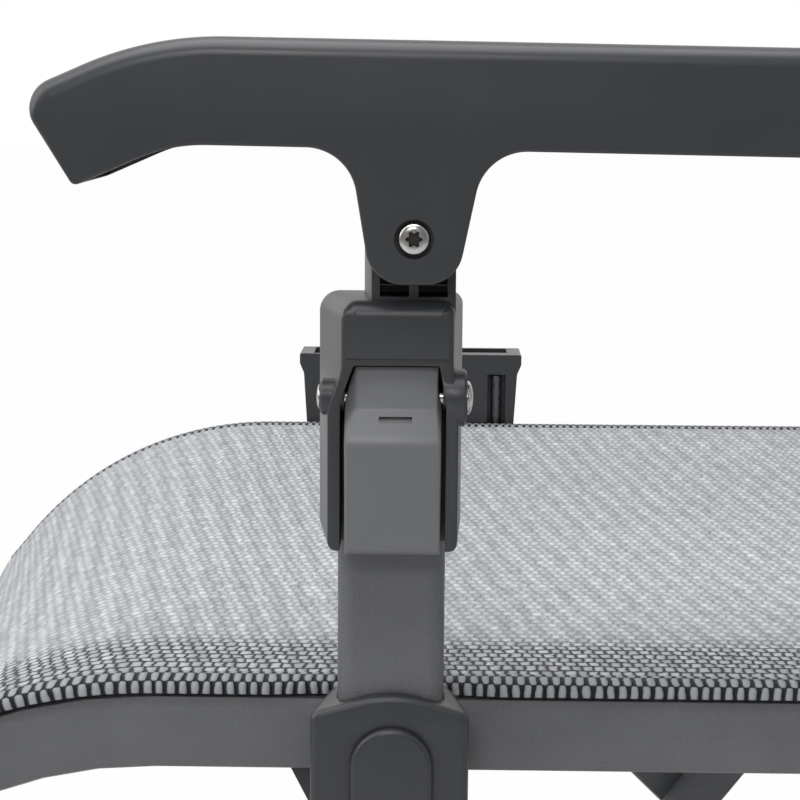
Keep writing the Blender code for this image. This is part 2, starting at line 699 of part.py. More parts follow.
def post_foot(label, side):
    """Moulded collar that takes the post and turns on a bolt in the rail."""
    half = COLLAR_WIDTH / 2
    top, bottom = RAIL_Z + COLLAR_TOP_RISE, RAIL_Z - COLLAR_BOTTOM_DROP
    corners = [(-half, bottom, COLLAR_FOOT_RADIUS), (half, bottom, COLLAR_FOOT_RADIUS),
               (half, top - COLLAR_ARCH, COLLAR_SHOULDER_RADIUS), (0, top, COLLAR_ARCH_RADIUS),
               (-half, top - COLLAR_ARCH, COLLAR_SHOULDER_RADIUS)]
    foot = prism("post_foot_" + label, filleted(corners), COLLAR_IN, COLLAR_OUT, side)
    soften(foot, COLLAR_EDGE, 2, lambda a, b: min(abs(a.x), abs(b.x)) > COLLAR_OUT - CLEARANCE)
    seat = post_socket(RAIL_Z + POST_SEAT_RISE - CLEARANCE, top + PIECE_GAP, side)
    bore = hole(0, RAIL_Z, BOLT_RADIUS + CLEARANCE, COLLAR_IN - PIECE_GAP, COLLAR_OUT + PIECE_GAP, side)
    recess = hole(0, RAIL_Z, BOLT_HEAD_RADIUS + CLEARANCE, COLLAR_OUT - BOLT_HEAD_HEIGHT - 2 * CLEARANCE,
                  COLLAR_OUT + PIECE_GAP, side)
    return carve(foot, [seat, bore, recess])


def foot_tab(label, side):
    """Raised round-topped tab that covers the bolt."""
    half = TAB_WIDTH / 2
    outline = capsule_outline(0, RAIL_Z - TAB_BOTTOM_DROP + half, half, 0, RAIL_Z + TAB_TOP_RISE - half, half, 10)
    low = COLLAR_OUT + CLEARANCE
    tab = prism("foot_tab_" + label, outline, low, low + TAB_THICKNESS, side)
    return soften(tab, TAB_EDGE, 2, lambda a, b: min(abs(a.x), abs(b.x)) > low + TAB_THICKNESS - CLEARANCE)


def fork_half_at(x, draft):
    """Half width of the fork's drafted side at a place across the chair."""
    share = (x - COLLAR_IN) / (FORK_OUT - COLLAR_IN)
    return FORK_HALF * (1 - share * (1 - draft))


def boss_face():
    """Distance of the pin bosses' outer faces from the post's middle."""
    return fork_half_at(LEVER_PIN_X, CHEEK_DRAFT) + PIN_BOSS_HEIGHT


def pin_hole(side):
    outline = circle_outline(LEVER_PIN_X, LEVER_PIN_Z, PIN_RADIUS + CLEARANCE)
    return prism("pin_hole", outline, -2 * FORK_HALF, 2 * FORK_HALF, side, "Y")


def fork_bracket(label, side):
    """Moulding on top of the post: shoulders, two cheeks and the armrest's ribbed neck."""
    top, bottom = SCREW_Z - SHOULDER_DROP, SCREW_Z - CHEEK_END_DROP
    flare_top, flare_foot = LIP_Z + FLARE_RISE, LIP_Z - FLARE_DROP
    corners = [(-FORK_HALF, bottom, CHEEK_END_RADIUS), (FORK_HALF, bottom, CHEEK_END_RADIUS),
               (FORK_HALF, flare_foot, 0), (FORK_HALF, flare_top, 0), (FORK_HALF, top, SHOULDER_RADIUS),
               (-FORK_HALF, top, SHOULDER_RADIUS), (-FORK_HALF, flare_top, 0), (-FORK_HALF, flare_foot, 0)]
    fork = prism("fork_bracket_" + label, filleted(corners), COLLAR_IN, FORK_OUT, side)
    for vert in fork.data.vertices:
        if abs(vert.co.x) > FORK_OUT - CLEARANCE:
            block_draft = BLOCK_FRONT_DRAFT if vert.co.y < 0 else BLOCK_REAR_DRAFT
            vert.co.y *= block_draft if vert.co.z > LIP_Z else CHEEK_DRAFT
    soften(fork, BLOCK_EDGE, 3, lambda a, b: min(abs(a.x), abs(b.x)) > FORK_OUT - CLEARANCE and min(a.z, b.z) > LIP_Z)
    half = NECK_WIDTH / 2
    root = top - NECK_ROOT
    neck_corners = [(SCREW_Y - half, root, 0), (SCREW_Y + half, root, 0),
                    (SCREW_Y + half, SCREW_Z + LUG_RADIUS, half * NECK_ROUND),
                    (SCREW_Y - half, SCREW_Z + LUG_RADIUS, half * NECK_ROUND)]
    neck_out = FORK_OUT - CLEARANCE
    neck = prism("neck", filleted(neck_corners), COLLAR_IN + SHOULDER_RADIUS, neck_out, side)
    for vert in neck.data.vertices:
        if abs(vert.co.x) < neck_out - CLEARANCE:
            vert.co.y = SCREW_Y + (vert.co.y - SCREW_Y) * NECK_DRAFT
    face = boss_face()
    inside = (SLOT_HALF + FORK_HALF) / 2
    disc = circle_outline(LEVER_PIN_X, LEVER_PIN_Z, PIN_BOSS_RADIUS)
    bosses = [prism("boss", disc, end * inside, end * face, side, "Y") for end in (-1, 1)]
    carve(fork, [neck] + bosses, "UNION")
    far = FORK_OUT + PIECE_GAP * 5
    post_slot = post_socket(bottom - PIECE_GAP, LIP_Z + POST_SOCKET_DEPTH, side)
    low_half, top_half = LEVER_WIDTH / 2 + LEVER_SIDE_GAP, LEVER_TOP_WIDTH / 2 + CLEARANCE
    low_z = bottom - PIECE_GAP
    slot_outline = [(-low_half, low_z), (low_half, low_z), (low_half, flare_foot), (top_half, LIP_Z),
                    (-top_half, LIP_Z), (-low_half, flare_foot)]
    lever_slot = prism("slot", slot_outline, POST_OUT, far, side)
    pockets = []
    for end in (-1, 1):
        near, wide = NECK_WALL / 2, half - NECK_WALL
        low_y, high_y = sorted((SCREW_Y + end * near, SCREW_Y + end * wide))
        pockets.append(box("pocket", (FORK_OUT - NECK_POCKET_DEPTH, low_y, top + CLEARANCE),
                           (far, high_y, top + NECK_POCKET_HEIGHT), side))
    thread = hole(SCREW_Y, SCREW_Z, SCREW_SHANK_RADIUS + CLEARANCE, ARM_OUT - SCREW_LENGTH - PIECE_GAP, far, side)
    return carve(fork, [post_slot, lever_slot, thread, pin_hole(side)] + pockets)


def lever_pin(label, side):
    """Rivet through both cheeks and the lever, with a domed head at each end."""
    reach = boss_face() + CLEARANCE
    profile = [(-reach - PIN_HEAD_HEIGHT, 0), (-reach - PIN_HEAD_HEIGHT * 0.9, PIN_HEAD_RADIUS * 0.45),
               (-reach - PIN_HEAD_HEIGHT * 0.55, PIN_HEAD_RADIUS * 0.8), (-reach, PIN_HEAD_RADIUS),
               (-reach, PIN_RADIUS), (reach, PIN_RADIUS), (reach, PIN_HEAD_RADIUS),
               (reach + PIN_HEAD_HEIGHT * 0.55, PIN_HEAD_RADIUS * 0.8),
               (reach + PIN_HEAD_HEIGHT * 0.9, PIN_HEAD_RADIUS * 0.45), (reach + PIN_HEAD_HEIGHT, 0)]
    return turned("lever_pin_" + label, profile, (LEVER_PIN_X, 0, LEVER_PIN_Z), side, "Y")


def lock_lever(label, side):
    """Flip lever: round cam at its top, set-back upper facet, slope and proud grip face."""
    bottom = LEVER_PIN_Z - LEVER_END_DROP
    corners = [(LEVER_IN, bottom, 0), (LEVER_OUT, bottom, LEVER_EDGE),
               (LEVER_OUT, LEVER_PIN_Z - LEVER_SLOPE_DROP, LEVER_EDGE),
               (LEVER_PIN_X + LEVER_CREST_PROUD, LEVER_PIN_Z - LEVER_CREST_DROP, 0),
               (LEVER_PIN_X + LEVER_TOP_PROUD, LEVER_PIN_Z + LEVER_TOP, 0)]
    outline = filleted(corners, 3)
    cam_steps = 6
    for k in range(cam_steps + 1):
        turn = math.pi / 2 * (1 + k / cam_steps)
        outline.append((LEVER_PIN_X + LEVER_CAM_RADIUS * math.cos(turn),
                        LEVER_PIN_Z + LEVER_CAM_RADIUS * math.sin(turn)))
    half = LEVER_WIDTH / 2
    lever = prism("lock_lever_" + label, outline, -half, half, side, "Y")
    for vert in lever.data.vertices:
        if vert.co.z > LEVER_PIN_Z - LEVER_SLOPE_DROP / 2:
            vert.co.y *= LEVER_TOP_WIDTH / LEVER_WIDTH
    return carve(lever, [pin_hole(side)])


# Armrest
def arm_underside(y):
    """Height of the armrest's straight lower edge above its screw."""
    return ARM_UNDERSIDE - ARM_REAR_FALL * (y - ARM_DROOP_Y) / (BACK_HINGE_Y - ARM_DROOP_Y)


def at_screw(outline):
    return [(SCREW_Y + u, SCREW_Z + v) for u, v in outline]


def armrest(label, side):
    """Hollow shell, open below, with a drooping nose and a lug on its outer wall."""
    rear = BACK_HINGE_Y + ARM_REAR_RADIUS
    rear_top = ARM_TOP - ARM_REAR_FALL
    lug_side, lug_foot = LUG_RADIUS * LUG_SIDE_SHARE, LUG_RADIUS * LUG_FOOT_SHARE
    lug_round = LUG_RADIUS * LUG_ROUND_SHARE
    corners = [(rear, rear_top, ARM_REAR_RADIUS * 0.9), (ARM_CROWN_Y, ARM_TOP, ARM_CROWN_RADIUS),
               (ARM_NOSE_Y, ARM_NOSE_Z, ARM_NOSE_RADIUS), (ARM_TIP_Y, ARM_TIP_Z, ARM_TIP_RADIUS),
               (ARM_DROOP_Y, ARM_UNDERSIDE, ARM_DROOP_RADIUS),
               (-lug_side, arm_underside(-lug_side), LUG_FILLET), (-lug_foot, -LUG_RADIUS, lug_round),
               (lug_foot, -LUG_RADIUS, lug_round), (lug_side * LUG_REAR_SHARE, arm_underside(lug_side), LUG_FILLET),
               (rear, arm_underside(rear), ARM_REAR_RADIUS * 0.8)]
    shell = prism("armrest_" + label, at_screw(filleted(corners, 7)), ARM_IN, ARM_OUT, side)
    edge_z = SCREW_Z + ARM_NOSE_Z - ARM_WALL
    soften(shell, ARM_EDGE, 3, lambda a, b: abs(a.x - b.x) < CLEARANCE and min(a.z, b.z) > edge_z)

    wall = ARM_WALL
    slope = Vector((ARM_TIP_Y - ARM_NOSE_Y, ARM_TIP_Z - ARM_NOSE_Z)).normalized()
    inset = Vector((-slope.y, slope.x)) * wall
    nose_in = Vector((ARM_NOSE_Y, ARM_NOSE_Z)) + inset + slope * wall
    tip_in = Vector((ARM_TIP_Y, ARM_TIP_Z)) + inset + slope * 4 * wall
    below = -3 * LUG_RADIUS
    hollow = [(rear - wall, rear_top - wall, ARM_REAR_RADIUS * 0.7), (ARM_CROWN_Y, ARM_TOP - wall, ARM_CROWN_RADIUS - wall),
              (nose_in.x, nose_in.y, wall), (tip_in.x, tip_in.y, 0), (tip_in.x, below, 0), (rear - wall, below, 0)]
    cavity = prism("cavity", at_screw(filleted(hollow)), ARM_IN + wall, LUG_IN, side)
    reach = 3 * lug_side
    step = CLEARANCE
    clear = [(-reach, arm_underside(-reach) - step), (reach, arm_underside(reach) - step), (reach, below), (-reach, below)]
    inner_lug = prism("inner_lug", at_screw(clear), ARM_IN - PIECE_GAP, ARM_IN + wall + PIECE_GAP, side)
    bore = hole(SCREW_Y, SCREW_Z, SCREW_SHANK_RADIUS + CLEARANCE, LUG_IN - PIECE_GAP, ARM_OUT + PIECE_GAP, side)
    seat = hole(SCREW_Y, SCREW_Z, COUNTERBORE_RADIUS, ARM_OUT - COUNTERBORE_DEPTH, ARM_OUT + PIECE_GAP, side)
    pin = hole(REAR_PIN_Y, REAR_PIN_Z, REAR_PIN_RADIUS + CLEARANCE, ARM_IN - PIECE_GAP, ARM_IN + 2 * wall, side)
    return carve(shell, [cavity, inner_lug, bore, seat, pin])


def armrest_screw(label, side):
    """Button-head screw with a six-lobed recess."""
    seat = ARM_OUT - COUNTERBORE_DEPTH + CLEARANCE
    crown = seat + SCREW_HEAD_HEIGHT
    profile = [(ARM_OUT - SCREW_LENGTH, 0), (ARM_OUT - SCREW_LENGTH, SCREW_SHANK_RADIUS), (seat, SCREW_SHANK_RADIUS),
               (seat, SCREW_HEAD_RADIUS), (seat + SCREW_HEAD_HEIGHT * 0.3, SCREW_HEAD_RADIUS),
               (seat + SCREW_HEAD_HEIGHT * 0.75, SCREW_HEAD_RADIUS * 0.75), (crown, SCREW_HEAD_RADIUS * 0.5), (crown, 0)]
    screw = turned("armrest_screw_" + label, profile, (0, SCREW_Y, SCREW_Z), side)
    star = []
    for k in range(12):
        radius = SCREW_RECESS_RADIUS * (1.0 if k % 2 == 0 else 0.74)
        star.append((SCREW_Y + radius * math.cos(math.pi * k / 6), SCREW_Z + radius * math.sin(math.pi * k / 6)))
    recess = prism("recess", star, crown - SCREW_RECESS_DEPTH, crown + PIECE_GAP, side)
    return carve(screw, [recess])


# Holder on the right post
def side_holder(side):
    """Moulded saddle round the post with two open pockets and a flared rim."""
    low_x, high_x = HOLDER_IN, HOLDER_IN + HOLDER_DEPTH
    top, bottom = RAIL_Z + HOLDER_TOP_RISE, RAIL_Z + HOLDER_BOTTOM_RISE
    rim = HOLDER_HALF_LENGTH
    body = rim - HOLDER_RIM_FLARE
    foot = body - HOLDER_DRAFT
    neck, lip, edge = top - HOLDER_RIM_HEIGHT, top - HOLDER_RIM_HEIGHT / 2, HOLDER_EDGE
    corners = [(-foot, bottom, 2 * edge), (foot, bottom, 2 * edge), (body, neck, 2 * edge), (rim, lip, edge),
               (rim, top, PIECE_GAP), (-rim, top, PIECE_GAP), (-rim, lip, edge), (-body, neck, 2 * edge)]
    holder = prism("side_holder", filleted(corners, 3), low_x, high_x, side)
    collar_half = COLLAR_WIDTH / 2 + PIECE_GAP
    collar_top = RAIL_Z + COLLAR_TOP_RISE + PIECE_GAP / 2
    cutters = [box("collar_room", (low_x - PIECE_GAP, -collar_half, bottom - PIECE_GAP),
                   (high_x + PIECE_GAP, collar_half, collar_top), side),
               post_socket(bottom, top + PIECE_GAP, side)]
    floor = bottom + HOLDER_WALL
    for end in (-1, 1):
        inner_wall = HOLDER_WALL + (HOLDER_RECESS_DEPTH if end > 0 else 0)
        low_y, high_y = sorted((end * (collar_half + HOLDER_WALL), end * (foot - HOLDER_WALL)))
        cutters.append(box("pocket", (low_x + inner_wall, low_y, floor),
                           (high_x - HOLDER_WALL, high_y, top + PIECE_GAP), side))
    half = HOLDER_RECESS_WIDTH / 2
    cutters.append(box("recess", (low_x - PIECE_GAP, HOLDER_ROD_Y - half, floor),
                       (low_x + HOLDER_RECESS_DEPTH, HOLDER_ROD_Y + half, top - HOLDER_RIM_HEIGHT), side))
    return carve(holder, cutters)


def holder_rod(side):
    """Ribbed rod that stands in the holder's recess."""
    low = RAIL_Z + HOLDER_BOTTOM_RISE + HOLDER_WALL + CLEARANCE
    high = RAIL_Z + HOLDER_TOP_RISE - HOLDER_RIM_HEIGHT - PIECE_GAP
    pitch = (high - low) / HOLDER_ROD_RIBS
    profile = [(low, 0)]
    for k in range(HOLDER_ROD_RIBS):
        profile.append((low + pitch * (k + 0.05), HOLDER_ROD_RADIUS * 0.8))
        profile.append((low + pitch * (k + 0.5), HOLDER_ROD_RADIUS))
    profile += [(high, HOLDER_ROD_RADIUS * 0.8), (high, 0)]
    x = HOLDER_IN + HOLDER_RECESS_DEPTH - HOLDER_ROD_RADIUS - CLEARANCE
    return turned("holder_rod", profile, (x, HOLDER_ROD_Y, 0), side, "Z", 10)


# Assembly
def set_origin(obj, point):
    """Move an object's origin to a point without moving its surface."""
    obj.data.transform(Matrix.Translation(-Vector(point)))
    obj.location = point


def dress(obj, material, smooth_angle=35):
    obj.data.materials.clear()
    obj.data.materials.append(material)
    obj.data.shade_smooth()
    obj.data.set_sharp_from_angle(angle=math.radians(smooth_angle))


def build():
    clear_scene()
    powder = finish("powder_coat", (0.100, 0.102, 0.106), 0.55, 0.2)
    moulded = finish("dark_moulding", (0.048, 0.050, 0.053), 0.6)
    lever_grey = finish("lever_grey", (0.150, 0.152, 0.156), 0.5)
    mesh_cloth = finish("woven_mesh", (0.36, 0.37, 0.385), 0.85)
    steel = finish("stainless", (0.62, 0.61, 0.59), 0.25, 1.0)
    rubber = finish("foot_rubber", (0.03, 0.03, 0.031), 0.8)

    pieces = []

    def keep(obj, material, pivot=(0, 0, RAIL_Z)):
        dress(obj, material)
        set_origin(obj, pivot)
        pieces.append(obj)

    keep(seat_frame(), powder)
    keep(seat_sling(), mesh_cloth)
    keep(seat_rear_bar(), powder)
    back_pivot = (0, BACK_HINGE_Y, BACK_HINGE_Z)
    keep(back_frame(), powder, back_pivot)
    keep(back_sling(), mesh_cloth, back_pivot)
    keep(back_cross_bar(), powder, back_pivot)
    legs = (("front", FRONT_LEG_X, FRONT_LEG_PIVOT_Y, -1, FRONT_LEG_SLOPE, RAIL_OUT),
            ("rear", REAR_LEG_X, REAR_LEG_PIVOT_Y, 1, REAR_LEG_SLOPE, RAIL_X))
    for place, x, pivot_y, direction, slope, _ in legs:
        keep(leg_frame(place + "_leg_frame", x, pivot_y, direction, slope), powder, (0, pivot_y, LEG_PIVOT_Z))

    for label, side in SIDES:
        keep(rail_end_cap(label, side), moulded)
        keep(back_hinge_bracket(label, side), moulded)
        keep(bolt("back_pivot_bolt_" + label, BACK_HINGE_Y, BACK_HINGE_Z,
                  BACK_X - TUBE_WIDTH / 2 - CLEARANCE, RAIL_OUT + CLEARANCE, side), steel)
        keep(bolt("post_pivot_bolt_" + label, 0, RAIL_Z, RAIL_IN - CLEARANCE,
                  COLLAR_OUT - BOLT_HEAD_HEIGHT - CLEARANCE, side), steel)
        for place, x, pivot_y, direction, slope, high in legs:
            pivot = (0, pivot_y, LEG_PIVOT_Z)
            low = x + TUBE_WIDTH / 2 + PIECE_GAP
            keep(leg_bracket(f"{place}_leg_bracket_{label}", pivot_y, low, high, side), moulded)
            keep(bolt(f"{place}_leg_bolt_{label}", pivot_y, LEG_PIVOT_Z, x - TUBE_WIDTH / 2 - CLEARANCE,
                      high + CLEARANCE, side), steel)
            keep(leg_foot(f"{place}_foot_{label}", x, pivot_y, direction, slope, side), rubber, pivot)
        keep(armrest_clip(label, side), moulded, back_pivot)
        keep(armrest_rear_pin(label, side), steel, back_pivot)
        keep(post_tube(label, side), powder)
        keep(post_foot(label, side), moulded)
        keep(foot_tab(label, side), moulded)
        keep(fork_bracket(label, side), moulded)
        keep(lever_pin(label, side), steel)
        keep(lock_lever(label, side), lever_grey, (side * LEVER_PIN_X, 0, LEVER_PIN_Z))
        keep(armrest(label, side), moulded, (0, SCREW_Y, SCREW_Z))
        keep(armrest_screw(label, side), steel)
    keep(side_holder(-1), moulded)
    keep(holder_rod(-1), steel)

    root = bpy.data.objects.new("chair", None)
    bpy.context.collection.objects.link(root)
    bpy.context.view_layer.update()
    ends = [(obj.matrix_world @ Vector(corner)).y for obj in pieces for corner in obj.bound_box]
    root.location.y = -(min(ends) + max(ends)) / 2
    for obj in pieces:
        obj.parent = root
    print("arm post lies at y =", round(root.location.y, 6))


build()
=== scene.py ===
import json
import math

import bmesh
import bpy
from mathutils import Matrix, Vector


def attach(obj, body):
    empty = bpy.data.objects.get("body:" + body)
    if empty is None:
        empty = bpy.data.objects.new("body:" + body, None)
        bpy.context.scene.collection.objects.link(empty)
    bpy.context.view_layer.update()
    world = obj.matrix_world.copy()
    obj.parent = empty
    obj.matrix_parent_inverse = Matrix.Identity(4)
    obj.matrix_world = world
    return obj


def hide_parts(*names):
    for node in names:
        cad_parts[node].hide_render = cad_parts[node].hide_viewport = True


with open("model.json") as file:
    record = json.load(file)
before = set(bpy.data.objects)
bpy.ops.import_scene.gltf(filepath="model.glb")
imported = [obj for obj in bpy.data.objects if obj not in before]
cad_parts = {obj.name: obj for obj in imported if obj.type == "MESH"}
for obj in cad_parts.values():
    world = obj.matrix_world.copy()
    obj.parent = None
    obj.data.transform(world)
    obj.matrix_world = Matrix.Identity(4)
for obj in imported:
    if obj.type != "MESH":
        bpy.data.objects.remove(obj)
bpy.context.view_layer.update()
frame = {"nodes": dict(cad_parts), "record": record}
nodes = frame["nodes"]
SIDES = (("left", 1), ("right", -1))

# Places in metres; y is counted from the arm posts and moved by POST_Y into the chair's frame
POST_Y = -0.082371
GAP = 0.0003
RAIL_Z = 0.431
RAIL_IN = 0.240
RAIL_HALF = 0.014
COLLAR_IN, COLLAR_OUT = 0.2622, 0.2860
POST_IN, POST_OUT = 0.2635, 0.2815
FORK_OUT = 0.2973
LUG_IN = 0.2985
ARM_IN, ARM_OUT = 0.2475, 0.3035
ARM_WALL = 0.003
SCREW_Y, SCREW_Z = 0.0063, 0.6067
PIN_X, PIN_Z = 0.2898, 0.5549
LEVER_IN, LEVER_OUT = 0.2823, 0.3013
LIP_Z = 0.5661
FORK_TOP, FORK_BOTTOM = 0.5865, 0.5056
FORK_HALF = 0.0238
HINGE_Y, HINGE_Z = 0.284, 0.471
SCREW_BORE = 0.0028
PIN_BORE = 0.0028
POST_LOW, POST_HIGH = -0.0185, 0.0173
POST_CORNER = 0.0060
POST_SLOT_CORNER = 0.0062
OVERLAP = 0.001


# Outlines
def filleted(corners, spacing=0.0012):
    """Outline through corners (u, v, radius), each corner rounded by an arc of points about spacing apart."""
    outline = []
    for index, (u, v, radius) in enumerate(corners):
        here = Vector((u, v))
        before = (Vector(corners[index - 1][:2]) - here).normalized()
        after = (Vector(corners[(index + 1) % len(corners)][:2]) - here).normalized()
        if radius <= 0:
            outline.append((u, v))
            continue
        half = before.angle(after) / 2
        centre = here + (before + after).normalized() * (radius / math.sin(half))
        first = here + before * (radius / math.tan(half)) - centre
        last = here + after * (radius / math.tan(half)) - centre
        turn = first.angle_signed(last)
        steps = max(3, math.ceil(abs(turn) * radius / spacing))
        for step in range(steps + 1):
            ray = first.copy()
            ray.rotate(Matrix.Rotation(-turn * step / steps, 2))
            outline.append(tuple(centre + ray))
    return outline


def circle(u, v, radius, sides=48):
    turns = [2 * math.pi * k / sides for k in range(sides)]
    return [(u + radius * math.cos(t), v + radius * math.sin(t)) for t in turns]


def inward_normals(outline):
    """Unit normal of an outline at each point, towards its inside."""
    count = len(outline)
    area = sum(outline[k - 1][0] * outline[k][1] - outline[k][0] * outline[k - 1][1] for k in range(count))
    sense = 1 if area > 0 else -1
    normals = []
    for k in range(count):
        before = (Vector(outline[k]) - Vector(outline[k - 1])).normalized()
        after = (Vector(outline[(k + 1) % count]) - Vector(outline[k])).normalized()
        along = (before + after).normalized()
        normals.append((-along.y * sense, along.x * sense))
    return normals


def smooth_step(value, low, high):
    share = min(1.0, max(0.0, (value - low) / (high - low)))
    return share * share * (3 - 2 * share)


# Meshes
def piece(name, points, faces):
    """New object from points counted from the post, with its faces turned outwards."""
    mesh = bpy.data.meshes.new(name)
    mesh.from_pydata([(x, y + POST_Y, z) for x, y, z in points], [], faces)
    shape = bmesh.new()
    shape.from_mesh(mesh)
    bmesh.ops.recalc_face_normals(shape, faces=shape.faces)
    shape.to_mesh(mesh)
    shape.free()
    obj = bpy.data.objects.new(name, mesh)
    bpy.context.scene.collection.objects.link(obj)
    return obj


def loft(name, rings):
    """Closed solid through rings of the same number of points."""
    count = len(rings[0])
    points = [p for ring in rings for p in ring]
    faces = [tuple(range(count))]
    for r in range(len(rings) - 1):
        for k in range(count):
            a, b = r * count + k, r * count + (k + 1) % count
            faces.append((a, b, b + count, a + count))
    faces.append(tuple(range((len(rings) - 1) * count, len(rings) * count)))
    return piece(name, points, faces)


def prism(name, outline, low, high, side):
    """Outline (y, z) carried from low to high across the chair."""
    return loft(name, [[(side * x, y, z) for y, z in outline] for x in (low, high)])


def upright(name, outline, low, high, side):
    """Outline (x, y) carried upwards from low to high."""
    return loft(name, [[(side * x, y, z) for x, y in outline] for z in (low, high)])


def lengthwise(name, outline, places, side):
    """Outline (x, z) carried along the chair through places of y."""
    return loft(name, [[(side * x, y, z) for x, z in outline] for y in places])


def rounded_prism(name, ends, side, steps=7):
    """Solid between two outlines with rounded end edges; ends are (outline, x, radius(y, z))."""
    rings = []
    for way, (outline, place, radius) in zip((-1, 1), ends):
        normals = inward_normals(outline)
        turns = [math.pi / 2 * k / steps for k in range(steps + 1)]
        for turn in (turns if way > 0 else reversed(turns)):
            ring = []
            for (y, z), (ny, nz) in zip(outline, normals):
                r = radius(y, z)
                inset = r * (1 - math.cos(turn))
                x = place - way * r * (1 - math.sin(turn))
                ring.append((side * x, y + ny * inset, z + nz * inset))
            rings.append(ring)
    return loft(name, rings)


def even(radius):
    """Radius for rounded_prism that is the same all round."""
    return lambda y, z: radius


def box(name, low, high, side):
    """Block between two opposite corners (x, y, z)."""
    outline = [(low[1], low[2]), (high[1], low[2]), (high[1], high[2]), (low[1], high[2])]
    return prism(name, outline, low[0], high[0], side)


def apply_modifiers(obj):
    graph = bpy.context.evaluated_depsgraph_get()
    mesh = bpy.data.meshes.new_from_object(obj.evaluated_get(graph))
    obj.modifiers.clear()
    old = obj.data
    obj.data = mesh
    bpy.data.meshes.remove(old)
    return obj


def carve(obj, tools, operation="DIFFERENCE"):
    for tool in tools:
        step = obj.modifiers.new("carve", "BOOLEAN")
        step.operation = operation
        step.solver = "EXACT"
        step.object = tool
    apply_modifiers(obj)
    for tool in tools:
        bpy.data.objects.remove(tool)
    return obj


def ease_edges(obj, width, segments=2, angle=32):
    """Small rounding on every sharp edge."""
    bevel = obj.modifiers.new("ease", "BEVEL")
    bevel.limit_method = "ANGLE"
    bevel.angle_limit = math.radians(angle)
    bevel.width = width
    bevel.segments = segments
    bevel.use_clamp_overlap = True
    return apply_modifiers(obj)


def shade(obj, angle=34):
    for face in obj.data.polygons:
        face.use_smooth = True
    obj.data.set_sharp_from_angle(angle=math.radians(angle))
    return obj


def turned(name, profile, centre, direction, sides=40):
    """Solid of revolution: profile of (place, radius) along a direction from centre."""
    ahead = Vector(direction)
    across = Vector((0, 0, 1))
    other = ahead.cross(across)
    rings = []
    for place, radius in profile:
        ring = []
        for k in range(sides):
            t = 2 * math.pi * k / sides
            out = across * math.cos(t) + other * math.sin(t)
            ring.append(tuple(Vector(centre) + ahead * place + out * radius))
        rings.append(ring)
    return loft(name, rings)


# Materials
def graph_of(name):
    material = bpy.data.materials.new(name)
    material.use_nodes = True
    tree = material.node_tree
    return material, tree, tree.nodes["Principled BSDF"]


def add(tree, kind, **values):
    node = tree.nodes.new(kind)
    for key, value in values.items():
        setattr(node, key, value)
    return node


def math_node(tree, operation, first, second=None):
    node = add(tree, "ShaderNodeMath", operation=operation)
    for slot, value in enumerate((first, second)):
        if value is None:
            continue
        if isinstance(value, (int, float)):
            node.inputs[slot].default_value = value
        else:
            tree.links.new(value, node.inputs[slot])
    return node.outputs[0]


def noise(tree, scale, detail=2.0, coordinates=None):
    node = add(tree, "ShaderNodeTexNoise")
    node.inputs["Scale"].default_value = scale
    node.inputs["Detail"].default_value = detail
    if coordinates is None:
        coordinates = add(tree, "ShaderNodeTexCoord").outputs["Object"]
    tree.links.new(coordinates, node.inputs["Vector"])
    return node.outputs["Fac"]


def ramp(tree, value, stops):
    node = add(tree, "ShaderNodeValToRGB")
    elements = node.color_ramp.elements
    while len(elements) < len(stops):
        elements.new(0.5)
    for element, (place, color) in zip(elements, stops):
        element.position = place
        element.color = (*color, 1)
    tree.links.new(value, node.inputs["Fac"])
    return node.outputs["Color"]


def span(tree, value, low, high):
    node = add(tree, "ShaderNodeMapRange")
    node.inputs["To Min"].default_value = low
    node.inputs["To Max"].default_value = high
    tree.links.new(value, node.inputs["Value"])
    return node.outputs["Result"]


def eased_range(tree, value, source, target):
    """Value carried smoothly from the range source to the range target."""
    node = add(tree, "ShaderNodeMapRange", interpolation_type="SMOOTHSTEP")
    node.inputs["From Min"].default_value, node.inputs["From Max"].default_value = source
    node.inputs["To Min"].default_value, node.inputs["To Max"].default_value = target
    tree.links.new(value, node.inputs["Value"])
    return node.outputs["Result"]


def bump(tree, shader, height, strength, distance):
    node = add(tree, "ShaderNodeBump")
    node.inputs["Strength"].default_value = strength
    node.inputs["Distance"].default_value = distance
    tree.links.new(height, node.inputs["Height"])
    tree.links.new(node.outputs["Normal"], shader.inputs["Normal"])


def scaled(color, factor):
    return tuple(channel * factor for channel in color)


def grained(name, color, roughness, grain, strength, specular, metallic=0.0, speckle=0.06):
    """Surface with a fine grain: slight speckle in colour, uneven gloss and a shallow relief."""
    material, tree, shader = graph_of(name)
    fine = noise(tree, grain, 2.0)
    broad = noise(tree, 38.0, 3.0)
    fine_share = math_node(tree, "MULTIPLY", fine, 0.6)
    mixed = math_node(tree, "ADD", fine_share, math_node(tree, "MULTIPLY", broad, 0.4))
    stops = [(0.30, scaled(color, 1 - speckle)), (0.70, scaled(color, 1 + speckle))]
    tree.links.new(ramp(tree, mixed, stops), shader.inputs["Base Color"])
    tree.links.new(span(tree, broad, roughness - 0.06, roughness + 0.06), shader.inputs["Roughness"])
    shader.inputs["Specular IOR Level"].default_value = specular
    shader.inputs["Metallic"].default_value = metallic
    bump(tree, shader, fine, strength, 0.0002)
    return material


# Weave: colours, lengths in metres of cloth, and the slant of its rows
YARN_LIGHT = (0.57, 0.585, 0.61)
YARN_DARK = (0.018, 0.019, 0.021)
YARN_PITCH = (0.0065, 0.0041)
EDGE_ZONE = (0.172, 0.250)
RIGHT_EDGE_SHIFT = 0.09
TWILL_LEAN = 0.16
TWILL_STEP = 0.36


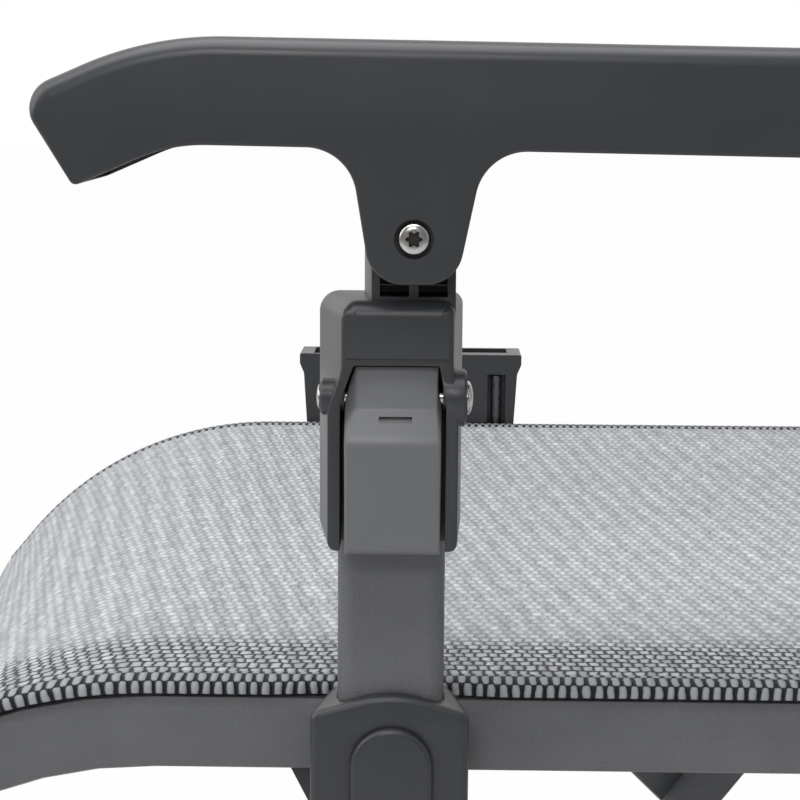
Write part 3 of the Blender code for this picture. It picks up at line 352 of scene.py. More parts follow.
def distance_from_edge(tree, across, inside, outside):
    """Value that changes smoothly from the sling's middle to its left edge; the right edge hardly changes."""
    other = math_node(tree, "SUBTRACT", math_node(tree, "MULTIPLY", across, -1.0), RIGHT_EDGE_SHIFT)
    return eased_range(tree, math_node(tree, "MAXIMUM", across, other), EDGE_ZONE, (inside, outside))


def cloth_place(tree):
    """Place on the cloth, whole and as its two parts: across the chair and along the rail."""
    place = add(tree, "ShaderNodeUVMap", uv_map="cloth").outputs["UV"]
    parts = add(tree, "ShaderNodeSeparateXYZ")
    tree.links.new(place, parts.inputs[0])
    return place, parts.outputs[0], parts.outputs[1]


def arch(tree, value):
    """Arch that rises and falls once over each whole step of a value."""
    return math_node(tree, "SINE", math_node(tree, "MULTIPLY", math_node(tree, "FRACT", value), math.pi))


def woven(name, pitch, light, dark):
    """Mesh of light yarn floats in shifted rows, with dark gaps near the edge and painted shade that darkens
    the light yarn towards the left edge; pitch is (across, along).
    """
    material, tree, shader = graph_of(name)
    place, across, lengthways = cloth_place(tree)
    wander = math_node(tree, "MULTIPLY", noise(tree, 150.0, 2.0), 0.8)
    column = math_node(tree, "ADD", math_node(tree, "DIVIDE", across, pitch[0]), wander)
    column_index = math_node(tree, "FLOOR", column)
    row = math_node(tree, "ADD", math_node(tree, "DIVIDE", lengthways, pitch[1]), wander)
    row = math_node(tree, "ADD", row, math_node(tree, "MULTIPLY", column_index, TWILL_STEP))
    place_in_weave = add(tree, "ShaderNodeCombineXYZ")
    tree.links.new(column_index, place_in_weave.inputs[0])
    tree.links.new(math_node(tree, "FLOOR", row), place_in_weave.inputs[1])
    float_tone = add(tree, "ShaderNodeTexWhiteNoise", noise_dimensions="2D")
    tree.links.new(place_in_weave.outputs[0], float_tone.inputs["Vector"])
    hump_row = arch(tree, row)
    hump_column = arch(tree, column)
    height = math_node(tree, "MINIMUM", hump_row, math_node(tree, "MULTIPLY", hump_column, 1.3))
    inner = distance_from_edge(tree, across, 0.40, 0.0)
    filled = math_node(tree, "MAXIMUM", height, math_node(tree, "ADD", inner, 0.12))
    strand = math_node(tree, "MULTIPLY", noise(tree, 1400.0, 2.0), 0.24)
    tone = math_node(tree, "ADD", filled, strand)
    stops = [(0.44, dark), (0.58, scaled(light, 0.68)), (0.82, light), (1.0, scaled(light, 1.10))]
    shadow = add(tree, "ShaderNodeVectorMath", operation="SCALE")
    tree.links.new(ramp(tree, tone, stops), shadow.inputs[0])
    drift = math_node(tree, "MULTIPLY", across, TWILL_LEAN)
    twill = math_node(tree, "DIVIDE", math_node(tree, "ADD", lengthways, drift), 3 * pitch[1])
    twill = math_node(tree, "ADD", twill, wander)
    wave = math_node(tree, "SINE", math_node(tree, "MULTIPLY", twill, 2 * math.pi))
    slanted = add(tree, "ShaderNodeMapping")
    slanted.inputs["Rotation"].default_value = (0, 0, math.radians(28))
    slanted.inputs["Scale"].default_value = (45, 260, 1)
    tree.links.new(place, slanted.inputs["Vector"])
    streak = span(tree, noise(tree, 1.0, 2.0, slanted.outputs["Vector"]), 0.82, 1.18)
    streak = math_node(tree, "ADD", streak, math_node(tree, "MULTIPLY", wave, 0.12))
    streak = math_node(tree, "MULTIPLY", streak, span(tree, float_tone.outputs["Value"], 0.88, 1.12))
    # Painted shade: the light yarn is darkened by up to 14% towards the sling's left edge.
    level = math_node(tree, "MULTIPLY", distance_from_edge(tree, across, 1.0, 0.86), streak)
    tree.links.new(level, shadow.inputs["Scale"])
    tree.links.new(shadow.outputs["Vector"], shader.inputs["Base Color"])
    shader.inputs["Roughness"].default_value = 0.62
    shader.inputs["Specular IOR Level"].default_value = 0.35
    shader.inputs["Sheen Weight"].default_value = 0.08
    bump(tree, shader, height, 0.8, 0.0010)
    return material


def hemmed(name, pitch, light, dark):
    """Rolled edge: rows of light bundles side by side along the rail, with dark gaps."""
    material, tree, shader = graph_of(name)
    across, lengthways = cloth_place(tree)[1:]
    wander = math_node(tree, "MULTIPLY", noise(tree, 120.0, 2.0), 0.5)
    row = math_node(tree, "FLOOR", across)
    bundle = math_node(tree, "ADD", math_node(tree, "DIVIDE", lengthways, pitch), wander)
    bundle = math_node(tree, "ADD", bundle, math_node(tree, "MULTIPLY", row, 0.5))
    side_hump = arch(tree, bundle)
    row_hump = arch(tree, across)
    hump = math_node(tree, "MULTIPLY", side_hump, math_node(tree, "POWER", row_hump, 0.12))
    strand = math_node(tree, "MULTIPLY", noise(tree, 1400.0, 2.0), 0.22)
    tone = math_node(tree, "ADD", hump, strand)
    stops = [(0.60, dark), (0.70, scaled(light, 0.52)), (0.95, scaled(light, 0.74))]
    tree.links.new(ramp(tree, tone, stops), shader.inputs["Base Color"])
    shader.inputs["Roughness"].default_value = 0.65
    shader.inputs["Specular IOR Level"].default_value = 0.3
    bump(tree, shader, hump, 0.9, 0.0012)
    return material


POWDER = grained("powder_coat", (0.155, 0.158, 0.163), roughness=0.44, grain=1300.0, strength=0.45,
                 specular=0.40, speckle=0.17)
MOULDING = grained("dark_moulding", (0.044, 0.046, 0.050), roughness=0.36, grain=1900.0, strength=0.14,
                   specular=0.50)
LEVER_GREY = grained("lever_grey", (0.178, 0.181, 0.187), roughness=0.36, grain=2300.0, strength=0.06,
                     specular=0.45, speckle=0.03)
STEEL = grained("stainless", (0.60, 0.59, 0.57), roughness=0.24, grain=900.0, strength=0.04,
                specular=0.5, metallic=1.0)
ROD_STEEL = grained("rod_steel", (0.17, 0.17, 0.172), roughness=0.34, grain=900.0, strength=0.04,
                    specular=0.5, metallic=1.0)
# Painted shade: a dark steel for the inside of the screw's recess, where shade falls.
RECESS_PAINTED_SHADE = grained("screw_recess_painted_shade", (0.075, 0.068, 0.064), roughness=0.5, grain=900.0, strength=0.04,
                 specular=0.2, metallic=1.0)
RUBBER = grained("foot_rubber", (0.022, 0.022, 0.023), roughness=0.75, grain=1100.0, strength=0.3,
                 specular=0.25)
MESH = woven("woven_mesh", YARN_PITCH, YARN_LIGHT, YARN_DARK)
HEM = hemmed("rolled_hem", YARN_PITCH[1], YARN_LIGHT, YARN_DARK)
SLOT_MATERIAL = {"powder_coat": POWDER, "dark_moulding": MOULDING, "lever_grey": LEVER_GREY,
                 "woven_mesh": MESH, "stainless": STEEL, "foot_rubber": RUBBER}


def dress(obj, body, slot, *replaced, material=None):
    """Gives a new piece its material and its body, and hides the nodes that it stands for."""
    obj.data.materials.clear()
    obj.data.materials.append(material or SLOT_MATERIAL[slot])
    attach(obj, body)
    if replaced:
        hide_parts(*replaced)
    return obj


def dress_node(name, slot):
    """Carries a CAD node over with smooth faces, sharp edges kept sharp, and its material."""
    node = nodes[name]
    node.data.materials.clear()
    node.data.materials.append(ROD_STEEL if name == "holder_rod" else SLOT_MATERIAL[slot])
    for face in node.data.polygons:
        face.use_smooth = True
    if "custom_normal" in node.data.attributes:
        node.data.attributes.remove(node.data.attributes["custom_normal"])
    weld = node.modifiers.new("weld", "WELD")
    weld.merge_threshold = 0.00001
    split = node.modifiers.new("split", "EDGE_SPLIT")
    split.split_angle = math.radians(30)


# Armrest
def from_screw(outline):
    """Outline counted from the armrest screw, moved to the screw's place."""
    return [(SCREW_Y + u, SCREW_Z + v) for u, v in outline]


def armrest(label, side):
    """Hollow shell with a rounded top edge, a drooping nose and the lug that holds the screw."""
    rear, top, rear_top = HINGE_Y + 0.0155, 0.0621, 0.0571
    corners = [(rear, rear_top, 0.01395), (-0.082, top, 0.110), (-0.1238, 0.0440, 0.009),
               (-0.1060, 0.0156, 0.002), (-0.076, 0.0287, 0.055), (-0.0203, 0.0279, 0.016),
               (-0.0133, -0.0143, 0.0117), (0.0133, -0.0143, 0.0117), (0.0219, 0.0274, 0.016),
               (rear, 0.0235, 0.0124)]
    outline = from_screw(filleted(corners))

    def radius(y, z):
        return 0.0009 + 0.0051 * smooth_step(z - SCREW_Z, 0.030, 0.047)

    ends = ((outline, ARM_IN, radius), (outline, ARM_OUT, radius))
    shell = rounded_prism("armrest_shell_" + label, ends, side)
    wall, open_below = ARM_WALL, -0.043
    hollow = [(rear - wall, rear_top - wall, 0.011), (-0.082, top - wall, 0.107), (-0.1197, 0.0430, 0.003),
              (-0.0971, 0.0070, 0), (-0.0971, open_below, 0), (rear - wall, open_below, 0)]
    cavity = prism("cavity", from_screw(filleted(hollow)), ARM_IN + wall, LUG_IN, side)
    clear = from_screw([(-0.061, 0.0282), (0.061, 0.0265), (0.061, open_below), (-0.061, open_below)])
    inner_lug = prism("inner_lug", clear, ARM_IN - OVERLAP, ARM_IN + wall + OVERLAP, side)
    bore = prism("bore", circle(SCREW_Y, SCREW_Z, SCREW_BORE), LUG_IN - OVERLAP, ARM_OUT + OVERLAP, side)
    seat = prism("seat", circle(SCREW_Y, SCREW_Z, 0.0062), ARM_OUT - 0.0026, ARM_OUT + OVERLAP, side)
    rear_hole = circle(HINGE_Y + SCREW_Y, HINGE_Z + 0.1757, 0.0033)
    pin = prism("pin", rear_hole, ARM_IN - OVERLAP, ARM_IN + 2 * wall, side)
    carve(shell, [cavity, inner_lug, bore, seat, pin])
    dress(shade(shell), f"armrest_{label}_body", "dark_moulding", "armrest_" + label)


def armrest_screw(label, side):
    """Button head with a domed crown and a six-lobed recess, whose inner faces get a dark material as painted
    shade.
    """
    seat, high, radius, rim = ARM_OUT - 0.0023, 0.0028, 0.0052, 0.0009
    shank, shank_end, tip, lobe_reach = 0.0025, -0.0197, 0.0002, 0.0027
    profile = [(shank_end, tip), (shank_end, shank), (0, shank), (0, radius), (rim, radius)]
    for k in range(1, 9):
        turn = math.pi / 2 * k / 8
        profile.append((rim + (high - rim) * math.sin(turn), radius * (0.50 + 0.50 * math.cos(turn))))
    profile.append((high, tip))
    screw = turned("button_screw_" + label, profile, (side * seat, SCREW_Y, SCREW_Z), (side, 0, 0))
    star = []
    for k in range(96):
        turn = 2 * math.pi * k / 96
        lobe = lobe_reach * (0.84 + 0.16 * math.cos(6 * turn))
        star.append((SCREW_Y + lobe * math.cos(turn), SCREW_Z + lobe * math.sin(turn)))
    carve(screw, [prism("recess", star, seat + high - 0.0017, seat + high + OVERLAP, side)])
    dress(shade(screw, 40), "post_" + label, "stainless", "armrest_screw_" + label)
    # Painted shade: faces inside the recess take the dark steel instead of the lit stainless.
    screw.data.materials.append(RECESS_PAINTED_SHADE)
    for face in screw.data.polygons:
        away = math.hypot(face.center.y - POST_Y - SCREW_Y, face.center.z - SCREW_Z)
        depth = seat + high - side * face.center.x
        if away < lobe_reach + 0.00005 and 0.0001 < depth < high - 0.0005:
            face.material_index = 1


# Fork, lever and rivet on top of the post
FLARE_TOP, FLARE_FOOT = LIP_Z + 0.0010, LIP_Z - 0.0170
NECK_HALF = 0.0134
NECK_OUT = FORK_OUT - 0.0056
BACK_SHIFT = -0.0014


def pin_tool(side):
    """Cutter for the rivet's bore, through fork or lever."""
    reach = 0.05
    return lengthwise("pin", circle(PIN_X, PIN_Z, PIN_BORE, 32), (-reach, reach), side)


def fork_bracket(label, side):
    """Drafted block with rounded shoulders, cheeks beside the lever and a ribbed neck that is set back."""
    flare = [FLARE_FOOT + (FLARE_TOP - FLARE_FOOT) * k / 12 for k in range(13)]
    corners = [(-FORK_HALF, FORK_BOTTOM, 0.003), (FORK_HALF, FORK_BOTTOM, 0.003)]
    corners += [(FORK_HALF, z, 0) for z in flare]
    corners += [(FORK_HALF, FORK_TOP, 0.0042), (-FORK_HALF, FORK_TOP, 0.0068)]
    corners += [(-FORK_HALF, z, 0) for z in reversed(flare)]
    outline = filleted(corners, 0.0008)
    front = []
    for y, z in outline:
        block = 0.70 if y < 0 else 0.81
        share = smooth_step(z, FLARE_FOOT, FLARE_TOP)
        front.append((y * (0.88 + (block - 0.88) * share), z))
    back = [(y + BACK_SHIFT, z) for y, z in outline]

    def front_radius(y, z):
        block = 0.0009 * smooth_step(z, FLARE_FOOT, FLARE_TOP)
        return 0.0006 + block + 0.0040 * smooth_step(z, FORK_TOP - 0.0045, FORK_TOP)

    ends = ((back, COLLAR_IN, even(0.0010)), (front, FORK_OUT, front_radius))
    fork = rounded_prism("fork_moulding_" + label, ends, side)
    neck_low, neck_high = FORK_TOP - 0.006, SCREW_Z + 0.0143
    neck_corners = [(-NECK_HALF, neck_low, 0), (NECK_HALF, neck_low, 0),
                    (NECK_HALF, neck_high, 0.012), (-NECK_HALF, neck_high, 0.012)]
    neck_outline = filleted(neck_corners)
    rings = []
    for x, draft in ((COLLAR_IN + 0.008, 1.22), (NECK_OUT, 1.0)):
        rings.append([(side * x, SCREW_Y + (u * draft if u < 0 else u), v) for u, v in neck_outline])
    inner_bosses = []
    added = [loft("neck", rings),
             prism("screw_boss", circle(SCREW_Y, SCREW_Z, 0.0085), NECK_OUT - OVERLAP, FORK_OUT - GAP, side)]
    boss_root, boss_edge, boss_face, inner_root = 0.0160, 0.0227, 0.02352, 0.0180
    for end, radius, reach in ((-1, 0.0060, 0.0157), (1, 0.0093, 0.0160)):
        disc = circle(PIN_X, PIN_Z, radius)
        top = circle(PIN_X, PIN_Z, radius - 0.0008)
        inner = circle(PIN_X, PIN_Z, 0.0045)
        places = ((disc, boss_root), (disc, boss_edge), (top, boss_face))
        added.append(loft("boss", [[(side * x, end * y, z) for x, z in ring] for ring, y in places]))
        inner_bosses.append(lengthwise("boss", inner, (end * reach, end * inner_root), side))
    carve(fork, added, "UNION")
    far = FORK_OUT + 0.005
    low_half, low_z, bend_z = 0.0170, FORK_BOTTOM - OVERLAP, PIN_Z - 0.0010
    post_slot = upright("post_slot", post_ring(GAP, POST_SLOT_CORNER), low_z, LIP_Z + 0.014, side)
    slot_corners = [(-low_half, low_z, 0), (low_half, low_z, 0), (low_half, bend_z, 0.008),
                    (0.0148, LIP_Z, 0.0008), (-0.0126, LIP_Z, 0.0008), (-low_half, bend_z, 0.008)]
    lever_slot = prism("lever_slot", filleted(slot_corners), POST_OUT, far, side)
    carve(fork, [post_slot, lever_slot])
    carve(fork, inner_bosses, "UNION")
    tools = [pin_tool(side),
             prism("thread", circle(SCREW_Y, SCREW_Z, SCREW_BORE), ARM_OUT - 0.023, far, side)]
    for end in (-1, 1):
        low_y, high_y = sorted((SCREW_Y + end * 0.0015, SCREW_Y + end * (NECK_HALF - 0.0026)))
        for depth, low, high in ((FORK_OUT - 0.020, 0.0010, 0.0047), (NECK_OUT - 0.006, 0.0050, 0.0112)):
            pocket = ((depth, low_y, FORK_TOP + low), (far, high_y, FORK_TOP + high))
            tools.append(box("pocket", *pocket, side))
    lip_line = ((FORK_OUT - 0.00025, -0.0150, LIP_Z + 0.0018), (far, 0.0175, LIP_Z + 0.0022))
    tools.append(box("lip_line", *lip_line, side))
    carve(fork, tools)
    ease_edges(fork, 0.00035, 2, 40)
    dress(shade(fork), "post_" + label, "dark_moulding", "fork_bracket_" + label)


def along(knots, place):
    """Value at a place on the broken line through knots of (place, value)."""
    for (low, first), (high, last) in zip(knots, knots[1:]):
        if place <= high:
            return first + (last - first) * max(0.0, place - low) / (high - low)
    return knots[-1][1]


def softened(knots, place, reach):
    """Value of the broken line averaged over a short reach, so that its corners are rounded."""
    shifts = [reach * (k / 3 - 1) for k in range(7)]
    return sum(along(knots, place + shift) for shift in shifts) / len(shifts)


def soft_ring(corners, cut, steps=4):
    """Closed ring in which each corner is replaced by a short curve."""
    ring = []
    for k, corner in enumerate(corners):
        here = Vector(corner)
        before, after = Vector(corners[k - 1]) - here, Vector(corners[(k + 1) % len(corners)]) - here
        first = here + before * min(0.45, cut / before.length)
        last = here + after * min(0.45, cut / after.length)
        for step in range(steps + 1):
            t = step / steps
            ring.append(tuple(first * (1 - t) ** 2 + here * 2 * t * (1 - t) + last * t ** 2))
    return ring


def lock_lever(label, side):
    """Grip block with a hollowed grip, two upper facets, chamfered sides and a thumb mark."""
    bottom, bend, crest, top = -0.0506, -0.0137, -0.0030, 0.0103
    lower_round, hollow, cam, fine, broad = 0.0045, 0.0006, 0.0075, 0.0004, 0.0020
    face = [(bottom, LEVER_OUT - 0.0016), (bend, LEVER_OUT), (crest, PIN_X + 0.0067), (top, PIN_X + 0.0040)]
    left = [(bottom, -0.0149), (bend + 0.0030, -0.0147), (crest, -0.0117), (top, -0.0120)]
    right = [(bottom, 0.0149), (bend + 0.0030, 0.0148), (crest, 0.0141), (top, 0.0143)]
    outer = [(bottom, 0.0154), (crest, 0.0155), (crest + 0.006, 0.0146), (top, 0.0123)]
    chamfer = [(bottom, 0.0006), (bend, 0.0008), (crest, 0.0030), (top, 0.0008)]
    rings = []
    levels = 150
    for k in range(levels + 1):
        v = bottom + (top - bottom) * k / levels
        front = softened(face, v, 0.0005 if v > (bend + crest) / 2 else broad)
        if v < bend:
            front -= hollow * math.sin(math.pi * (v - bottom) / (bend - bottom)) ** 2
        rise = min(lower_round, v - bottom)
        front -= lower_round - math.sqrt(lower_round ** 2 - (lower_round - rise) ** 2)
        if v < 0:
            back = LEVER_IN
        elif v < cam:
            back = PIN_X - math.sqrt(cam ** 2 - v ** 2)
        else:
            back = PIN_X + 0.0030 * (v - cam) / (top - cam)
        shoulder = max(back + 0.0004, front - softened(chamfer, v, fine))
        wide = softened(outer, v, fine)
        low_y, high_y = softened(left, v, fine), softened(right, v, fine)
        right_side = max(wide, high_y + 0.0003)
        corners = [(back, -wide), (shoulder, -wide), (front, low_y), (front, high_y),
                   (shoulder, right_side), (back, right_side)]
        rings.append([(side * x, y, PIN_Z + v) for x, y in soft_ring(corners, 0.0005)])
    lever = loft("lever_grip_" + label, rings)
    high_z, low_z = PIN_Z - 0.0052, PIN_Z - 0.0074
    mark = [(PIN_X + 0.0058, high_z), (PIN_X + 0.03, high_z), (PIN_X + 0.03, low_z), (PIN_X + 0.0089, low_z)]
    groove = lengthwise("mark", mark, (-0.0045, 0.0062), side)
    carve(lever, [groove, pin_tool(side)])
    dress(shade(lever, 24), "lever_" + label, "lever_grey", "lock_lever_" + label)


def lever_rivet(label, side):
    """Pin with a domed head at one end and a flat peened end at the other."""
    reach = 0.02382
    head = [(0.0018, 0.0055), (0.0009, 0.0040)]
    quarter = [math.pi / 2 * k / 7 for k in range(8)]
    domes = []
    for high, radius in head:
        domes.append([(high * math.sin(t), radius * max(0.03, math.cos(t))) for t in quarter])
    profile = [(-reach - h, r) for h, r in reversed(domes[1])] + [(-reach, 0.0025), (reach, 0.0025)]
    profile += [(reach + h, r) for h, r in domes[0]]
    rivet = turned("domed_rivet_" + label, profile, (side * PIN_X, 0, PIN_Z), (0, 1, 0), 32)
    dress(shade(rivet, 40), "post_" + label, "stainless", "lever_pin_" + label)


# Post and its collar at the seat rail
def post_ring(grow, corner):
    """Outline (x, y) of the post, grown all round."""
    low, high = POST_LOW - grow, POST_HIGH + grow
    corners = [(POST_IN - grow, low), (POST_OUT + grow, low), (POST_OUT + grow, high), (POST_IN - grow, high)]
    return filleted([(x, y, corner) for x, y in corners], 0.0006)


def post_tube(label, side):
    """Flat tube with well rounded edges."""
    outline = post_ring(0, POST_CORNER)
    post = upright("flat_post_" + label, outline, RAIL_Z + 0.009, LIP_Z + 0.0135, side)
    dress(shade(post), "post_" + label, "powder_coat", "post_tube_" + label)


def post_collar(label, side):
    """Moulded collar with an arched top and softly rounded front edges."""
    half, top, bottom = 0.0258, RAIL_Z + 0.0240, RAIL_Z - 0.045
    corners = [(-half, bottom, 0.012), (half, bottom, 0.012), (half, top - 0.0080, 0.004), (0, top, 0.034),
               (-half, top - 0.0080, 0.004)]
    outline = [(y * 1.06 if y < 0 else y, z) for y, z in filleted(corners, 0.0008)]
    back = []
    for y, z in outline:
        narrower = 0.20 * smooth_step(z, top - 0.020, top - 0.006)
        back.append((y * (1 - narrower), z + 0.0020 * smooth_step(z, top - 0.020, top)))
    ends = ((back, COLLAR_IN, even(0.0008)), (outline, COLLAR_OUT, even(0.0026)))
    collar = rounded_prism("post_collar_" + label, ends, side)
    seat = upright("seat", post_ring(GAP, POST_SLOT_CORNER), RAIL_Z + 0.0087, top + 0.004, side)
    bore = prism("bore", circle(0, RAIL_Z, 0.0043), COLLAR_IN - OVERLAP, COLLAR_OUT + OVERLAP, side)
    recess = prism("recess", circle(0, RAIL_Z, 0.0078), COLLAR_OUT - 0.0036, COLLAR_OUT + OVERLAP, side)
    carve(collar, [seat, bore, recess])
    ease_edges(collar, 0.0004, 2, 50)
    dress(shade(collar), "post_" + label, "dark_moulding", "post_foot_" + label)


def collar_tab(label, side):
    """Raised tab on the collar's face, round at both ends."""
    half = 0.0138
    low, high = RAIL_Z - 0.034 + half, RAIL_Z + 0.0119 - half
    turns = [math.pi * k / 24 for k in range(25)]
    outline = [(half * math.cos(t), high + half * math.sin(t)) for t in turns]
    outline += [(-half * math.cos(t), low - half * math.sin(t)) for t in turns]
    ends = ((outline, COLLAR_OUT + GAP, even(0.0008)), (outline, COLLAR_OUT + 0.0033, even(0.0020)))
    tab = rounded_prism("round_tab_" + label, ends, side)
    dress(shade(tab), "post_" + label, "dark_moulding", "foot_tab_" + label)


# Slings
def lay_cloth(obj, place):
    """Cloth coordinates of an object, from the place(number) of each of its points."""
    layer = obj.data.uv_layers.new(name="cloth")
    for loop in obj.data.loops:
        layer.data[loop.index].uv = place(loop.vertex_index)


def cloth(name, rows, uv_rows):
    """Closed sheet from rows of (under, over) pairs, with cloth coordinates in metres."""
    across = len(rows[0])
    under = [pair[0] for row in rows for pair in row]
    over = [pair[1] for row in rows for pair in row]
    flat_uv = [uv for row in uv_rows for uv in row]
    shift = len(under)
    faces = []
    for r in range(len(rows) - 1):
        for k in range(across - 1):
            a = r * across + k
            faces.append((a, a + 1, a + across + 1, a + across))
            faces.append((shift + a, shift + a + across, shift + a + across + 1, shift + a + 1))
    rim = list(range(across))
    rim += [r * across + across - 1 for r in range(1, len(rows))]
    rim += [(len(rows) - 1) * across + k for k in range(across - 2, -1, -1)]
    rim += [r * across for r in range(len(rows) - 2, 0, -1)]
    for a, b in zip(rim, rim[1:] + rim[:1]):
        faces.append((a, b, shift + b, shift + a))
    sheet = piece(name, under + over, faces)
    lay_cloth(sheet, lambda number: flat_uv[number % shift])
    return shade(sheet, 60)


def rail_stations():
    """Places (y, z), tilt and length run along the rail's middle, from the sling's rear to its front."""
    bend_y, radius, angle, ahead, rear_y = -0.084, 0.172, math.radians(50), 0.022, 0.240
    stations = []
    for k in range(24):
        y = rear_y + (bend_y - rear_y) * k / 24
        stations.append((y, RAIL_Z, 0.0, rear_y - y))
    for k in range(33):
        tilt = angle * k / 32
        stations.append((bend_y - radius * math.sin(tilt), RAIL_Z - radius * (1 - math.cos(tilt)), tilt,
                         rear_y - bend_y + radius * tilt))
    y, z, tilt, run = stations[-1]
    for k in range(1, 4):
        step = ahead * k / 3
        stations.append((y - step * math.cos(tilt), z - step * math.sin(tilt), tilt, run + step))
    return stations


def upward(tilt):
    """Direction that stands square on the rail where it is tilted."""
    return Vector((0, -math.sin(tilt), math.cos(tilt)))


HEM_PROUD = 0.0016
HEM_CLEAR = (0.031, 0.038)


def hem_section(proud):
    """Section of the hem round the rail's upper edge, as (x, height above the rail, row of the weave)."""
    outer = RAIL_IN + 0.0199 + proud
    return [(0.2470, 0.0046, 2.9), (0.2505, 0.0055, 2.4), (0.2540, 0.0058, 1.95), (0.2575, 0.0057, 1.4),
            (outer - 0.0012, 0.0051, 1.02), (outer - 0.0003, 0.0044, 0.95), (outer, 0.0034, 0.8),
            (outer, 0.0018, 0.4), (outer - 0.0003, 0.0006, 0.1), (outer - 0.0014, 0.0003, 0.03),
            (0.2560, 0.0004, 0.03), (0.2470, 0.0005, 0.03)]


def seat_sling():
    """Sheet over the seat frame with a hem on each rail; the left hem stands proud except at the collar."""
    edge, deepest, lift, thick = 0.2525, 0.009, 0.0050, 0.0022
    columns = [-edge + 2 * edge * k / 72 for k in range(73)]
    rows, uv_rows = [], []
    stations = rail_stations()
    for y, z, tilt, run in stations:
        row = []
        for x in columns:
            dip = deepest * max(0.0, 1 - (x / RAIL_IN) ** 2)
            top = Vector((x, y, z)) + upward(tilt) * (RAIL_HALF + lift - dip)
            row.append((tuple(top - upward(tilt) * thick), tuple(top)))
        rows.append(row)
        uv_rows.append([(x, run) for x in columns])
    sheet = dress(cloth("seat_mesh", rows, uv_rows), "seat", "woven_mesh", "seat_sling")
    for label, side in SIDES:
        rings = []
        for y, z, tilt, run in stations:
            proud = HEM_PROUD * smooth_step(abs(y), *HEM_CLEAR) if side > 0 else 0.0
            rings.append([tuple(Vector((side * x, y, z)) + upward(tilt) * (RAIL_HALF + rise))
                          for x, rise, row in hem_section(proud)])
        hem = loft("seat_hem_" + label, rings)
        weave_rows = [row for x, rise, row in hem_section(0.0)]
        count = len(weave_rows)
        lay_cloth(hem, lambda number: (weave_rows[number % count], stations[number // count][3]))
        dress(shade(hem, 60), "seat", "woven_mesh", material=HEM)


def back_sling():
    """Sheet in the back frame, hollowed across, with a rolled hem below and above."""
    edge, start, end, lean = 0.2187, 0.050, 0.620, math.radians(12)
    deepest, half_thick, hem_long, hem_thick, count = 0.014, 0.0012, 0.004, 0.0022, 12
    line = Vector((0, math.sin(lean), math.cos(lean)))
    front = Vector((0, -math.cos(lean), math.sin(lean)))
    hinge = Vector((0, HINGE_Y, HINGE_Z))
    columns = [-edge + 2 * edge * k / 48 for k in range(49)]

    def middle_at(x, run):
        return hinge + line * run + Vector((x, 0, 0)) - front * deepest * (1 - (x / edge) ** 2)

    rows, uv_rows = [], []
    for r in range(41):
        run = start + (end - start) * r / 40
        row = []
        for x in columns:
            middle = middle_at(x, run)
            row.append((tuple(middle - front * half_thick), tuple(middle + front * half_thick)))
        rows.append(row)
        uv_rows.append([(x, run) for x in columns])
    sheet = dress(cloth("back_mesh", rows, uv_rows), "back", "woven_mesh", "back_sling")
    for place, run in (("lower", start), ("upper", end)):
        rings = []
        for x in columns:
            ring = []
            for k in range(count):
                turn = 2 * math.pi * k / count
                out = line * hem_long * math.cos(turn) + front * hem_thick * math.sin(turn)
                ring.append(tuple(middle_at(x, run) + out))
            rings.append(ring)
        hem = loft(f"back_hem_{place}", rings)
        lay_cloth(hem, lambda number: (number % count / count, columns[number // count]))
        dress(shade(hem, 60), "back", "woven_mesh", material=HEM)


# Pieces
seat_sling()
back_sling()
for label, side in SIDES:
    armrest(label, side)
    armrest_screw(label, side)
    fork_bracket(label, side)
    lock_lever(label, side)
    lever_rivet(label, side)
    post_tube(label, side)
    post_collar(label, side)
    collar_tab(label, side)
REPLACED = ("seat_sling", "back_sling", "armrest_left", "armrest_right", "armrest_screw", "fork_bracket",
            "lock_lever", "lever_pin", "post_foot", "post_tube", "foot_tab")
for part in frame["record"]["subparts"]:
    if not part["node"].startswith(REPLACED):
        dress_node(part["node"], part["material_slot"])


# Floor, light and camera
# Zones, in metres or as part of a direction, and the share of white at their two ends
SHADOW_ZONE, SEEN_WHITE = (0.42, 0.79), (0.60, 0.98)
MIRROR_ZONE, MIRROR_WHITE = (-0.5, 0.6), (0.55, 0.0)
ROOM_ZONE, ROOM_WHITE = (-0.1, 0.6), (1.0, 0.20)


def blend(tree, share, first, second, output):
    """Sends two shaders to an output, the second by its share and the first by the rest."""
    mix = add(tree, "ShaderNodeMixShader")
    tree.links.new(share, mix.inputs[0])
    tree.links.new(first.outputs[0], mix.inputs[1])
    tree.links.new(second.outputs[0], mix.inputs[2])
    tree.links.new(mix.outputs[0], tree.nodes[output].inputs[0])


